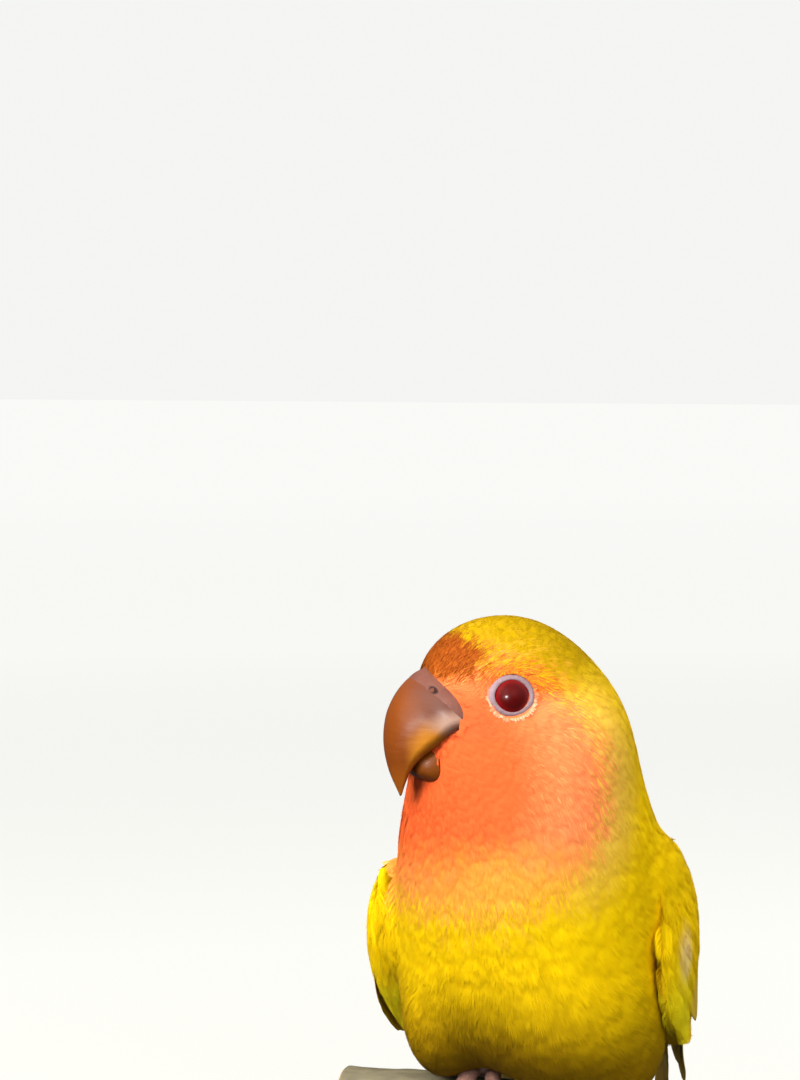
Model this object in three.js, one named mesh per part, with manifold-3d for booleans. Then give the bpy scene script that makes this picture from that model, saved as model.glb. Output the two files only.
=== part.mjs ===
// A peach-faced lovebird of the yellow, red-eyed colour form, life size, gripping a short branch
// that a plain display stand holds. Millimetres, +Z up, the bird facing -Y, its head turned to -X.
// The origin is the middle of the stand's underside.

import * as THREE from "three";
import { mergeVertices } from "three/addons/utils/BufferGeometryUtils.js";
import Module from "manifold-3d";

const wasm = await Module();
wasm.setup();

// Driving sizes
const GAP = 0.3; // between pieces that meet
const PERCH_TOP_Z = 52; // top of the branch above the table, so that the tail hangs clear
const PERCH_Y = -25; // the branch lies forward of the stand's middle
const PERCH_RADIUS = 6;
const PERCH_LENGTH = 64;
const BASE_WIDTH = 74;
const BASE_DEPTH = 112;
const BASE_THICKNESS = 6;
const BASE_CORNER = 30;
const ROD_RADIUS = 2;
const ROD_X = 22;
const HEAD_YAW = 50; // degrees that the head turns towards the bird's right
const HEAD_CENTRE = [1.2, -8, 64]; // from the top of the branch, midway between the feet
const BLEND = 3.4; // how softly the body's forms run together
const BLEND_TRIM = 1.7; // what the blend adds over the forms, taken off again
const EYE_RADIUS = 3.6;
const EYE_PLACE = [5.65, 9.2, 1.9]; // in the head: forward, left, up
const EYE_LOOK = [0.2, 0.96, 0.18]; // the way each eye faces, in the head
const LID_RADIUS = 3.1; // middle of the bare ring round the eye
const LID_THICKNESS = 0.6;
const NOSTRIL_PLACE = [16.95, 4.75, 3.05];
const NOSTRIL_RADIUS = 0.6;
const WING_REACH = 95; // shoulder to the tip of the folded wing
const ARM_REACH = 46; // shoulder to the end of the wing's arm
const TAIL_ROOT = [0, 37, 0];
const TAIL_PITCH = 46; // degrees below level
const TAIL_REACH = 53;
const TAIL_PAIRS = 6;
const FOOT_X = 6.5; // half the distance between the feet
const CLAW_LENGTH = 4.6;
const VANE = 0.6; // thickness of a feather

// Steps round and along the body
const ROUND = 32;
const TORSO_STEPS = 17;
const NECK_STEPS = 4;
const HEAD_STEPS = 12;

const SIDES = { left: 1, right: -1 };

const vec = (x, y, z) => new THREE.Vector3(x, y, z);
const rad = THREE.MathUtils.degToRad;
const lerp = THREE.MathUtils.lerp;
const smoothCurve = (points) =>
  new THREE.CatmullRomCurve3(points.map((p) => vec(...p)), false, "catmullrom", 0.5);

// Points evenly round a ring, each from its angle.
const around = (count, place) =>
  Array.from({ length: count }, (_, j) => place((2 * Math.PI * j) / count));

// Closed solids from rings of points

// Rings of equal length become one closed surface. In the columns that mirrored names, each quad is
// split the other way, so that both faces of a thin vane have like triangles.
function ringGeometry(rings, mirrored = () => false) {
  const count = rings[0].length;
  const points = rings.flat();
  const faces = [];
  for (let i = 0; i + 1 < rings.length; i++) {
    for (let j = 0; j < count; j++) {
      const a = i * count + j;
      const b = i * count + ((j + 1) % count);
      const [c, d] = [a + count, b + count];
      if (mirrored(j)) faces.push(a, b, c, b, d, c);
      else faces.push(a, b, d, a, d, c);
    }
  }
  const last = (rings.length - 1) * count;
  const middle = (ring) => ring.reduce((s, p) => s.add(p), vec(0, 0, 0)).divideScalar(count);
  const start = points.push(middle(rings[0])) - 1;
  const end = points.push(middle(rings[rings.length - 1])) - 1;
  for (let j = 0; j < count; j++) {
    const k = (j + 1) % count;
    faces.push(start, k, j, end, last + j, last + k);
  }
  const geometry = new THREE.BufferGeometry().setFromPoints(points);
  geometry.setIndex(faces);
  return geometry;
}

// A three.js geometry as a solid with its faces pointing out.
function solid(geometry) {
  const bare = new THREE.BufferGeometry();
  bare.setAttribute("position", geometry.attributes.position);
  bare.setIndex(geometry.index);
  const merged = mergeVertices(bare, 1e-4);
  const vertProperties = merged.attributes.position.array;
  const make = (triVerts) =>
    new wasm.Manifold(new wasm.Mesh({ numProp: 3, vertProperties, triVerts }));
  const faces = new Uint32Array(merged.index.array);
  const made = make(faces);
  return made.volume() > 0 ? made : make(faces.reverse());
}

const joined = (solids) => solids.reduce((all, one) => all.add(one));

// The largest closed surface of a solid: sealed hollows are filled and loose scraps are dropped.
const largest = (made) => made.decompose().reduce((a, b) => (b.volume() > a.volume() ? b : a));

// A geometry with each of its points moved outwards by the same distance.
function grown(geometry, distance) {
  const merged = mergeVertices(geometry, 1e-4);
  merged.computeVertexNormals();
  const { position, normal } = merged.attributes;
  for (let i = 0; i < position.count; i++) {
    const moved = vec(0, 0, 0).fromBufferAttribute(position, i);
    moved.addScaledVector(vec(0, 0, 0).fromBufferAttribute(normal, i), distance);
    position.setXYZ(i, ...moved);
  }
  return merged;
}

const ball = (centre, radius, across, along) =>
  solid(new THREE.SphereGeometry(radius, across, along).translate(...centre));

// A round tube along points, with a radius at each point.
function tube(points, radii, sides) {
  return ringGeometry(
    points.map((point, i) => {
      const before = points[Math.max(i - 1, 0)];
      const after = points[Math.min(i + 1, points.length - 1)];
      const along = after.clone().sub(before).normalize();
      const side = along.clone().cross(vec(1, 0, 0)).normalize();
      const up = side.clone().cross(along);
      return around(sides, (turn) =>
        point
          .clone()
          .addScaledVector(side, radii[i] * Math.cos(turn))
          .addScaledVector(up, radii[i] * Math.sin(turn)),
      );
    }),
  );
}

// The body's forms. Each is an ellipsoid: its centre, its radii and the directions of its axes.

const headTurn = rad(HEAD_YAW);
const HEAD_AXES = [
  vec(-Math.sin(headTurn), -Math.cos(headTurn), 0),
  vec(Math.cos(headTurn), -Math.sin(headTurn), 0),
  vec(0, 0, 1),
];

// A direction in the head, from its parts forward, left and up.
const headWay = (forward, left, up) =>
  vec(0, 0, 0)
    .addScaledVector(HEAD_AXES[0], forward)
    .addScaledVector(HEAD_AXES[1], left)
    .addScaledVector(HEAD_AXES[2], up);

const inHead = (forward, left, up) => headWay(forward, left, up).add(vec(...HEAD_CENTRE));

// The pitch turns a form's second axis up from straight ahead.
function bodyForm(centre, radii, pitch = 0) {
  const turn = rad(pitch);
  const axes = [
    vec(1, 0, 0),
    vec(0, -Math.cos(turn), Math.sin(turn)),
    vec(0, Math.sin(turn), Math.cos(turn)),
  ];
  return { centre: vec(...centre), radii, axes };
}

const headForm = (place, radii) => ({ centre: inHead(...place), radii, axes: HEAD_AXES });

const FORMS = [
  bodyForm([0, -3.8, 37.6], [20.9, 23.8, 19], 62), // breast
  bodyForm([0, -1, 25.5], [20.8, 19.5, 15.5], 35), // waist
  bodyForm([0.5, 1, 17], [19.7, 17.9, 14], 12), // belly
  bodyForm([0, 12, 31], [18.5, 26, 16], 50), // back
  bodyForm([0, 29, 12], [12.5, 20, 9], 40), // rump
  bodyForm([10.4, 6.2, 6.3], [12.7, 14, 14.1]), // left flank, fluffed out over the branch
  bodyForm([6.5, -3.5, 11], [12.5, 10.8, 10.6]), // feathers over the left thigh
  bodyForm([-13.2, -2.5, 9.6], [7.5, 11.1, 10.8]), // feathers over the right thigh
  bodyForm([11, 3, 39], [9.5, 12, 9.5], 40), // left shoulder
  bodyForm([1.4, -2, 50], [16.3, 18, 15.9]), // neck
  headForm([1.5, 0, 0.9], [13.8, 12.5, 13.7]), // crown
  headForm([7.6, 0, 2.6], [9.6, 8, 9.5]), // forehead
  headForm([6, 0, -7.9], [10.6, 10.6, 10]), // cheeks and chin
  headForm([-6.8, 0, -6.9], [11.5, 14.9, 13.6]), // nape
];

// About how far a point lies outside an ellipsoid.
function formGap(point, { centre, radii, axes }) {
  const offset = point.clone().sub(centre);
  const parts = axes.map((axis, i) => offset.dot(axis) / radii[i]);
  const reach = Math.hypot(...parts);
  const slope = Math.hypot(...parts.map((part, i) => part / radii[i]));
  return (reach * (reach - 1)) / Math.max(slope, 1e-6);
}

// How far a point lies outside the body: the forms' distances, run together softly.
function bodyGap(point) {
  const gaps = FORMS.map((form) => formGap(point, form));
  const least = Math.min(...gaps);
  const sum = gaps.reduce((total, gap) => total + Math.exp((least - gap) / BLEND), 0);
  return least - BLEND * Math.log(sum) + BLEND_TRIM;
}

// The edge between a place inside and a place outside, by halving the stretch between them.
function edgeBetween(inside, outside, isInside) {
  let [near, far] = [inside, outside];
  for (let i = 0; i < 30; i++) {
    const middle = (near + far) / 2;
    if (isInside(middle)) near = middle;
    else far = middle;
  }
  return near;
}

// The line through the body that its rings are centred on, from the tail to the crown.
const SPINE = smoothCurve([
  [0, 46, -3],
  [0, 32, 9],
  [0, 18, 19],
  [0, 5, 29],
  [0, -3, 40],
  [0.3, -6, 52],
  [0.8, -7.5, 64],
  [1.2, -8, 80],
]);
const inBody = (t) => bodyGap(SPINE.getPoint(t)) < 0;
const RUMP_END = edgeBetween(0.5, 0, inBody);
const CROWN = edgeBetween(0.5, 1, inBody);
const NECK_BASE = 0.575; // on the spine, between torso and neck
const NECK_TOP = 0.725; // between neck and head

// One ring of the body's surface, square to the spine.
function bodyRing(t) {
  const centre = SPINE.getPoint(t);
  const along = SPINE.getTangent(t);
  const back = along.clone().cross(vec(1, 0, 0)).normalize();
  const side = back.clone().cross(along);
  return around(ROUND, (turn) => {
    const ray = side.clone().multiplyScalar(Math.cos(turn)).addScaledVector(back, Math.sin(turn));
    const isInside = (r) => bodyGap(centre.clone().addScaledVector(ray, r)) < 0;
    const stride = 0.5;
    let outside = 0;
    while (isInside(outside)) outside += stride;
    const reach = edgeBetween(Math.max(outside - stride, 0), outside, isInside);
    return centre.clone().addScaledVector(ray, reach);
  });
}

// The rings of a stretch of the body. They crowd together towards the rump's end and the crown.
// Where a stretch meets another, both end at one level cut and stand back from it by half the gap.
function bodyRings(from, to, count) {
  const rings = [];
  for (let i = 0; i <= count; i++) {
    const u = i / count;
    let share = u;
    if (from === RUMP_END) share = lerp(u, 1 - Math.cos((u * Math.PI) / 2), 0.7);
    if (to === CROWN) share = lerp(u, Math.sin((u * Math.PI) / 2), 0.8);
    rings.push(bodyRing(lerp(from, to, share)));
  }
  const standBack = (ring, t, distance) => {
    for (const point of ring) point.addScaledVector(SPINE.getTangent(t), distance);
  };
  if (from !== RUMP_END) standBack(rings[0], from, GAP / 2);
  if (to !== CROWN) standBack(rings[count], to, -GAP / 2);
  return rings;
}

const torsoRings = bodyRings(RUMP_END, NECK_BASE, TORSO_STEPS);
const neckRings = bodyRings(NECK_BASE, NECK_TOP, NECK_STEPS);
const headRings = bodyRings(NECK_TOP, CROWN, HEAD_STEPS);
const bodyGeometry = ringGeometry([...torsoRings, ...neckRings, ...headRings]);
const wholeBody = solid(bodyGeometry);
const bodyClearance = solid(grown(bodyGeometry, GAP));

// An ellipsoid as a solid, made larger by some millimetres.
function formSolid({ centre, radii, axes }, larger = 0) {
  const geometry = new THREE.SphereGeometry(1, 14, 10);
  const frame = new THREE.Matrix4().makeBasis(...axes).setPosition(centre);
  const size = new THREE.Matrix4().makeScale(...radii.map((r) => r + larger));
  return solid(geometry.applyMatrix4(frame.multiply(size)));
}

// Branch: cut at both ends, a little uneven, with its top at the bird's origin

function perchSolid(larger = 0) {
  const count = 9;
  const half = PERCH_LENGTH / 2 + larger;
  const unevenness = 0.18;
  const rings = [];
  for (let i = 0; i <= count; i++) {
    const x = lerp(-half, half, i / count);
    const radius = PERCH_RADIUS + larger + unevenness * (Math.sin(x * 0.31 + 1) - 1);
    rings.push(
      around(16, (turn) => vec(x, radius * Math.cos(turn), -PERCH_RADIUS + radius * Math.sin(turn))),
    );
  }
  return solid(ringGeometry(rings));
}
const perch = perchSolid();
const perchClearance = perchSolid(GAP);

// Feet: two toes round the front of the branch and two round its back. Each toe starts a little
// to one side of the foot's middle and spreads further to that side along its length.

const TOES = [
  { start: -1.2, spread: -2.2, forward: 1, length: 11.5, radius: 1.35 },
  { start: 1.4, spread: 3.4, forward: 1, length: 15.5, radius: 1.5 },
  { start: -1.4, spread: -3.2, forward: -1, length: 8.5, radius: 1.3 },
  { start: 1.3, spread: 2.6, forward: -1, length: 13.5, radius: 1.45 },
];

// The middle line of a toe and its claw: s runs along the toe, past its length into the claw.
function toePoint(side, toe, s, height) {
  const spread = (toe.spread * Math.min(s, toe.length + 2)) / toe.length;
  const reach = PERCH_RADIUS + height;
  const turn = (toe.forward * s) / reach;
  return vec(
    side * (FOOT_X + toe.start + spread),
    -reach * Math.sin(turn),
    -PERCH_RADIUS + reach * Math.cos(turn),
  );
}

function toeSolid(side, toe, larger) {
  const count = 5;
  const points = [];
  const radii = [];
  for (let i = 0; i <= count; i++) {
    const u = i / count;
    const knuckle = 1 + 0.07 * Math.cos(i * Math.PI);
    const roundedEnd = i === count ? 0.7 : 1;
    points.push(toePoint(side, toe, u * toe.length, GAP + toe.radius * lerp(1, 0.8, u)));
    radii.push(toe.radius * lerp(1, 0.72, u) * knuckle * roundedEnd + larger);
  }
  return solid(tube(points, radii, 7));
}

// A claw arches off the bark and comes back to it at its tip.
function clawSolid(side, toe, larger = 0) {
  const count = 4;
  const rootInside = 1;
  const [rootRadius, tipRadius] = [0.85, 0.12];
  const points = [];
  const radii = [];
  for (let i = 0; i <= count; i++) {
    const u = i / count;
    const s = toe.length - rootInside + (CLAW_LENGTH + rootInside) * u;
    points.push(toePoint(side, toe, s, GAP + lerp(toe.radius, 0.45, u) + 0.9 * Math.sin(u * Math.PI)));
    radii.push(lerp(rootRadius, tipRadius, u ** 1.2) + larger);
  }
  return solid(tube(points, radii, 5));
}

function footSolid(side, larger = 0) {
  const x = side * FOOT_X;
  const shankPoints = [vec(x, 0.6, 1.9), vec(x + side * 0.6, 1.4, 4), vec(x + side * 1.6, 3, 7.5)];
  const shankRadii = [2.3, 2, 1.9].map((r) => r + larger);
  const pad = formSolid(bodyForm([x, 0, 1.6], [2.9, 2.8, 1.5]), larger);
  const toes = TOES.map((toe) => toeSolid(side, toe, larger));
  return joined([solid(tube(shankPoints, shankRadii, 8)), pad, ...toes]);
}

// Legs: the feathered thighs are cut out of the body's lower front corners.

const feet = {};
const legs = {};
const claws = {};
let torso = solid(ringGeometry(torsoRings)).subtract(perchClearance);
for (const [name, side] of Object.entries(SIDES)) {
  const thigh = bodyForm([side * 11.5, 1, 6.5], [8, 10, 9.5]);
  const thighClearance = formSolid(thigh, GAP);
  const footClearance = footSolid(side, GAP);
  const feathered = wholeBody.intersect(formSolid(thigh));
  legs[name] = largest(feathered.subtract(footClearance).subtract(perchClearance));
  const covered = thighClearance.intersect(bodyClearance);
  feet[name] = largest(footSolid(side).subtract(perchClearance).subtract(covered));
  claws[name] = TOES.map((toe) =>
    largest(clawSolid(side, toe).subtract(footClearance).subtract(perchClearance)),
  );
  torso = torso.subtract(thighClearance).subtract(footClearance);
  for (const toe of TOES) torso = torso.subtract(clawSolid(side, toe, GAP));
}
torso = largest(torso);

// Feathers

// Half the width of a vane of a given greatest half width, from its root at 0 to its tip at 1:
// it opens quickly from the quill and closes in a rounded end.
function vaneHalf(widest) {
  const [quill, opening, roundFrom, tip] = [0.45, 1.6, 0.55, 0.35];
  return (u) => {
    const closing = u > roundFrom ? ((u - roundFrom) / (1 - roundFrom)) ** 4 : 0;
    return widest * Math.min(1, quill + opening * u) * Math.sqrt(Math.max(1 - closing, tip ** 2));
  };
}

// A vane as a thin closed solid. place(along, across, depth) gives the points of its surface.
function vaneSolid(place, half, count) {
  const rings = [];
  for (let i = 0; i <= count; i++) {
    const u = i / count;
    const h = half(u);
    rings.push([place(u, -h, VANE), place(u, h, VANE), place(u, h, 0), place(u, -h, 0)]);
  }
  return solid(ringGeometry(rings, (j) => j === 2));
}

// Wings

const WING_LINE = smoothCurve([
  [22, 1, 37.5],
  [24.8, 7, 31.8],
  [25.6, 14.5, 25],
  [22, 26, 15],
  [16.2, 40, 2.5],
  [12.2, 55, -11],
  [8, 70, -24],
]);
const WING_ROLL = [-8, 46]; // degrees that the wing leans over the back, at the shoulder and tip
const WING_CURL = [24, 36]; // radius of its curve over the back, likewise
// How far each wing is moved outwards, along and up: its arm, and its tip past WING_BEND. The
// right wing hangs a little lower, as the bird leans to that side.
const WING_SHIFT = {
  left: { arm: [0, 0, 0], tip: [0, 0, 0] },
  right: { arm: [3, -6.5, -5.5], tip: [3.2, -6.5, 1] },
};
const WING_BEND = 0.35; // share of the wing's reach

// A point of a wing, as on the left side: s along it, w across it towards the back, d in from its
// outer face.
function wingPoint(name, s, w, d) {
  const u = Math.min(Math.max(s / WING_REACH, 0), 1);
  const along = WING_LINE.getTangentAt(u);
  const upright = vec(1, 0, 0).cross(along).normalize();
  const sideways = along.clone().cross(upright);
  const roll = rad(lerp(...WING_ROLL, Math.min(u * 1.6, 1)));
  const lean = (way, sideShare, upShare) =>
    way.clone().multiplyScalar(sideShare).addScaledVector(upright, upShare);
  const out = lean(sideways, Math.cos(roll), Math.sin(roll));
  const across = lean(sideways, -Math.sin(roll), Math.cos(roll));
  const curl = lerp(...WING_CURL, u);
  const turn = w / curl;
  const { arm, tip } = WING_SHIFT[name];
  const shift = vec(...arm).lerp(vec(...tip), THREE.MathUtils.smoothstep(u, WING_BEND, 1));
  return WING_LINE.getPointAt(u)
    .add(shift)
    .addScaledVector(out, (curl - d) * Math.cos(turn) - curl)
    .addScaledVector(across, (curl - d) * Math.sin(turn));
}

// The tiers of a wing's feathers. Each pair of values belongs to the tier's lowest feather and
// its highest: where they root and end along the wing and across it, and how deep they lie.
const WING_TIERS = {
  primaries: {
    count: 6, half: 3.1, tilt: 0.1, steps: 5,
    root: [28, 36], rootAcross: [-5, 3], end: [94, 70], endAcross: [-1.2, 3],
    rootDepth: [5.2, 3.4], midDepth: [5.0, 2.2], endDepth: [4.6, 1.6],
  },
  secondaries: {
    count: 6, half: 3.7, tilt: 0.32, steps: 4,
    root: [28, 20], rootAcross: [-5, 13], end: [66, 46], endAcross: [-4.6, 14.5],
    rootDepth: [3.0, 3.0], midDepth: [1.9, 1.9], endDepth: [1.8, 1.8],
  },
  greaterCoverts: {
    count: 5, half: 3.5, tilt: 0.22, steps: 3,
    root: [21, 14], rootAcross: [-6.5, 10], end: [50, 36], endAcross: [-6.2, 12],
    rootDepth: [2.4, 2.4], midDepth: [1.0, 1.0], endDepth: [0.9, 0.9],
  },
  medianCoverts: {
    count: 5, half: 3.4, tilt: 0.18, steps: 3,
    root: [13, 8], rootAcross: [-7.5, 10], end: [37, 26], endAcross: [-7.4, 12.5],
    rootDepth: [1.6, 1.6], midDepth: [0.2, 0.2], endDepth: [0.1, 0.1],
  },
};

function tierVanes(name, tier) {
  return Array.from({ length: tier.count }, (_, i) => {
    const at = (pair) => lerp(...pair, i / (tier.count - 1));
    const place = (u, across, depth) => {
      const s = lerp(at(tier.root), at(tier.end), u);
      const w = lerp(at(tier.rootAcross), at(tier.endAcross), u) + across;
      const rise = lerp(at(tier.rootDepth), at(tier.midDepth), Math.min(2 * u, 1));
      const level = lerp(0, at(tier.endDepth) - at(tier.midDepth), Math.max(2 * u - 1, 0));
      return wingPoint(name, s, w, rise + level + depth - across * tier.tilt);
    };
    return vaneSolid(place, vaneHalf(tier.half), tier.steps);
  });
}

// The wing's arm under its small coverts: a lens that lies against the flank. Its front is rounded
// and its end sinks under the tiers.
function wingArm(name) {
  const count = 10;
  const rings = [];
  for (let i = 0; i <= count; i++) {
    const u = i / count;
    const swell = Math.sqrt(Math.sin(Math.PI * lerp(0.008, 0.955, u ** 0.85)));
    const middle = lerp(2.5, 4, u);
    const half = lerp(12, 11, u) * swell;
    const top = Math.max(lerp(-3, 3, u), 0);
    const thick = lerp(11, 5, u) * swell;
    rings.push(
      around(14, (turn) => {
        const bulge = Math.sign(Math.sin(turn)) * Math.abs(Math.sin(turn)) ** 0.7;
        const depth = top + (thick / 2) * (1 - bulge);
        return wingPoint(name, ARM_REACH * u, middle + half * Math.cos(turn), depth);
      }),
    );
  }
  return solid(ringGeometry(rings));
}

function wingSolid(name) {
  const vanes = Object.values(WING_TIERS).flatMap((tier) => tierVanes(name, tier));
  const wing = joined([wingArm(name), ...vanes]);
  return largest(wing.scale([SIDES[name], 1, 1]).subtract(bodyClearance));
}

// Tail

const tailTurn = rad(TAIL_PITCH);
const TAIL_ALONG = vec(0, Math.cos(tailTurn), -Math.sin(tailTurn));
const TAIL_DOWN = vec(0, -Math.sin(tailTurn), -Math.cos(tailTurn));

// A point of the tail: s along it, w towards the bird's left, d below its upper face.
const tailPoint = (s, w, d) =>
  vec(...TAIL_ROOT).addScaledVector(TAIL_ALONG, s).addScaledVector(TAIL_DOWN, d).add(vec(w, 0, 0));

// Pairs of tail feathers, the middle pair uppermost and longest, each pair lying under the last
// and spread wider. The middle pair lies one over the other.
function tailVanes() {
  const [layer, camber] = [0.9, 0.02];
  const vanes = [];
  for (let pair = 0; pair < TAIL_PAIRS; pair++) {
    for (const side of Object.values(SIDES)) {
      const layersDown = pair === 0 ? Number(side < 0) : pair + 1;
      const reach = TAIL_REACH - 1.7 * pair - 0.6 * Number(side < 0);
      const place = (u, across, depth) => {
        const middle = side * lerp(0.8 + 0.45 * pair, 1.5 + 1.35 * pair, u);
        const down = layer * layersDown * lerp(0.8, 1, u) + camber * across ** 2;
        return tailPoint(lerp(2, reach, u), middle + across, down + depth);
      };
      vanes.push(vaneSolid(place, vaneHalf(3.9), 4));
    }
  }
  return vanes;
}

// The upper coverts that lie over the tail's root.
function tailCoverts() {
  const count = 5;
  const tilt = 0.22;
  return Array.from({ length: count }, (_, i) => {
    const fromMiddle = i - (count - 1) / 2;
    const reach = 25 - 1.6 * Math.abs(fromMiddle) - (i % 2);
    const place = (u, across, depth) => {
      const down = lerp(2, -1.1, u ** 0.6) + 0.35 * Math.abs(fromMiddle) + tilt * across;
      return tailPoint(reach * u, fromMiddle * lerp(1.6, 2.4, u) + across, down + depth);
    };
    return vaneSolid(place, vaneHalf(2.8), 3);
  });
}

// The tail's root, between its upper coverts and the soft feathers below it.
function tailStump() {
  const count = 7;
  const [start, end] = [-2, 30];
  const depths = smoothCurve([5.5, 8.4, 8.6, 7.4, 5.8].map((down, i) => [i, down, 0]));
  const rings = [];
  for (let i = 0; i <= count; i++) {
    const u = i / count;
    const half = lerp(8.2, 2.6, u ** 1.3);
    const top = lerp(-1.4, 1.2, u ** 1.5);
    const bottom = depths.getPoint(u).y;
    rings.push(
      around(14, (turn) => {
        const down = lerp(top, bottom, (1 - Math.sin(turn)) / 2);
        return tailPoint(lerp(start, end, u), half * Math.cos(turn), down);
      }),
    );
  }
  return solid(ringGeometry(rings));
}

const tail = largest(joined([tailStump(), ...tailVanes(), ...tailCoverts()]).subtract(bodyClearance));

// Bill. A profile runs from inside the head to the tip, as places forward and up in the head.
// A half profile gives the bill's half width at each of those places.

const profile = (points) => smoothCurve(points.map(([forward, up]) => [forward, up, 0]));
const halfProfile = (values) => smoothCurve(values.map((value, i) => [i, value, 0]));

const CULMEN = profile([
  [11.5, 6.6], [17.2, 5.6], [20.5, 3.2], [22.6, -0.6], [23.3, -5.2], [22.6, -9.8], [20.7, -14.4],
]);
const TOMIUM = profile([
  [10, -2.6], [14.4, -3.2], [17, -6], [19, -8], [19.9, -9.6], [20.4, -12], [20.5, -14.2],
]);
const BILL_HALF = halfProfile([8.6, 8.4, 6.1, 4.6, 3.4, 1.9, 0.3]);
const BILL_RIDGE = [1.9, 1.05]; // how sharply the bill's sides close into its ridge, at base and tip

// The upper bill: a ridge over a shallow hollow.
function upperBill(larger = 0) {
  const count = 12;
  const hollow = 0.12;
  const rings = [];
  for (let i = 0; i <= count; i++) {
    const edge = TOMIUM.getPoint(i / count);
    const rise = CULMEN.getPoint(i / count).sub(edge);
    const up = rise.clone().normalize();
    const half = BILL_HALF.getPoint(i / count).y + larger;
    const sharpness = lerp(...BILL_RIDGE, Math.min((2 * i) / count, 1));
    rings.push(
      around(16, (turn) => {
        const [cos, sin] = [Math.cos(turn), Math.sin(turn)];
        const share = sin > 0 ? sin ** 0.8 : -hollow * sin;
        const across = sin > 0 ? Math.sign(cos) * Math.abs(cos) ** sharpness : cos;
        const at = edge.clone().addScaledVector(rise, share);
        at.addScaledVector(up, larger * (sin > 0 ? share : -1));
        return inHead(at.x, half * across, at.y);
      }),
    );
  }
  return solid(ringGeometry(rings));
}

const JAW_TOP = profile([[10, -3], [14, -3.6], [16.8, -6], [18.6, -7.6], [19.3, -9]]);
const JAW_FLOOR = profile([[9, -13.5], [13.4, -12.9], [16.4, -12.3], [18.4, -11.2], [19.2, -10.2]]);
const JAW_HALF = halfProfile([7.2, 7, 5.6, 3.9, 2]);

function lowerBill() {
  const count = 8;
  const rings = [];
  for (let i = 0; i <= count; i++) {
    const top = JAW_TOP.getPoint(i / count);
    const floor = JAW_FLOOR.getPoint(i / count);
    const half = JAW_HALF.getPoint(i / count).y;
    rings.push(
      around(14, (turn) => {
        const at = floor.clone().lerp(top, (1 + Math.sin(turn)) / 2);
        return inHead(at.x, half * Math.cos(turn), at.y);
      }),
    );
  }
  return solid(ringGeometry(rings));
}

// Everything forward of a slanting cut through the bill's base, less a gap.
const CERE_FRONT = { forward: 18.9, up: 4.2, slant: 28 };

function forwardOfCere(gap) {
  const size = 40;
  const box = new THREE.BoxGeometry(size, size, size).translate(size / 2 + gap, 0, 0);
  box.rotateY(rad(CERE_FRONT.slant)).translate(CERE_FRONT.forward, 0, CERE_FRONT.up);
  const frame = new THREE.Matrix4().makeBasis(...HEAD_AXES).setPosition(...HEAD_CENTRE);
  return solid(box.applyMatrix4(frame));
}

// A place on the given side of the head, from one given for the left side.
const onSide = (side, [forward, left, up]) => inHead(forward, side * left, up);

const wholeUpper = upperBill().subtract(bodyClearance);
const nostrils = Object.values(SIDES).map((side) =>
  ball(onSide(side, NOSTRIL_PLACE), NOSTRIL_RADIUS, 8, 6),
);
const cere = largest(wholeUpper.subtract(forwardOfCere(-GAP)).subtract(joined(nostrils)));
const beakUpper = largest(wholeUpper.intersect(forwardOfCere(0)));
const beakLower = largest(lowerBill().subtract(upperBill(GAP)).subtract(bodyClearance));

// Eyes, and the bare rings round them

function lidRing(side) {
  const [forward, left, up] = EYE_LOOK;
  const look = headWay(forward, side * left, up).normalize();
  const ridge = 0.15; // that the ring stands out past the eye's edge
  const depth = Math.sqrt(EYE_RADIUS ** 2 - (LID_RADIUS - LID_THICKNESS) ** 2) + ridge;
  const turn = new THREE.Quaternion().setFromUnitVectors(vec(0, 0, 1), look);
  const torus = new THREE.TorusGeometry(LID_RADIUS, LID_THICKNESS, 5, 14).applyQuaternion(turn);
  return solid(torus.translate(...onSide(side, EYE_PLACE).addScaledVector(look, depth)));
}

const eye = (side, larger = 0) => ball(onSide(side, EYE_PLACE), EYE_RADIUS + larger, 14, 8);

let head = solid(ringGeometry(headRings));
for (const side of Object.values(SIDES)) head = head.add(lidRing(side)).subtract(eye(side, GAP));
head = largest(head);

// Stand

function roundedPlate() {
  const [x, y] = [BASE_WIDTH / 2 - BASE_CORNER, BASE_DEPTH / 2 - BASE_CORNER];
  const outline = new THREE.Shape();
  const corners = [[x, y], [-x, y], [-x, -y], [x, -y]];
  corners.forEach(([cx, cy], i) =>
    outline.absarc(cx, cy, BASE_CORNER, (i * Math.PI) / 2, ((i + 1) * Math.PI) / 2),
  );
  const options = { depth: BASE_THICKNESS, bevelEnabled: false, curveSegments: 8 };
  return solid(new THREE.ExtrudeGeometry(outline, options));
}

function rodSolid(x) {
  const bottom = BASE_THICKNESS + GAP;
  const top = PERCH_TOP_Z - PERCH_RADIUS;
  const rod = new THREE.CylinderGeometry(ROD_RADIUS, ROD_RADIUS, top - bottom, 16);
  rod.rotateX(Math.PI / 2).translate(x, PERCH_Y, (top + bottom) / 2);
  return solid(rod).subtract(perchClearance.translate([0, PERCH_Y, PERCH_TOP_Z]));
}

// Materials

const finish = (color, roughness, metalness = 0) =>
  new THREE.MeshStandardMaterial({ color, roughness, metalness });
const yellowFeathers = finish(0xe4c305, 0.75);
const faceFeathers = finish(0xe8763f, 0.8);
const hornyBill = finish(0xb97a4a, 0.4);
const bareSkin = finish(0x9a7468, 0.6);
const redEye = finish(0x720a0c, 0.1);
const clawHorn = finish(0xb59b86, 0.5);
const bark = finish(0x6f6a52, 0.85);
const brushedSteel = finish(0xb9bcc0, 0.3, 1);
const paintedWood = finish(0xe9e7e1, 0.5);

// The model: the bird and its branch in one group, above the stand

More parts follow.
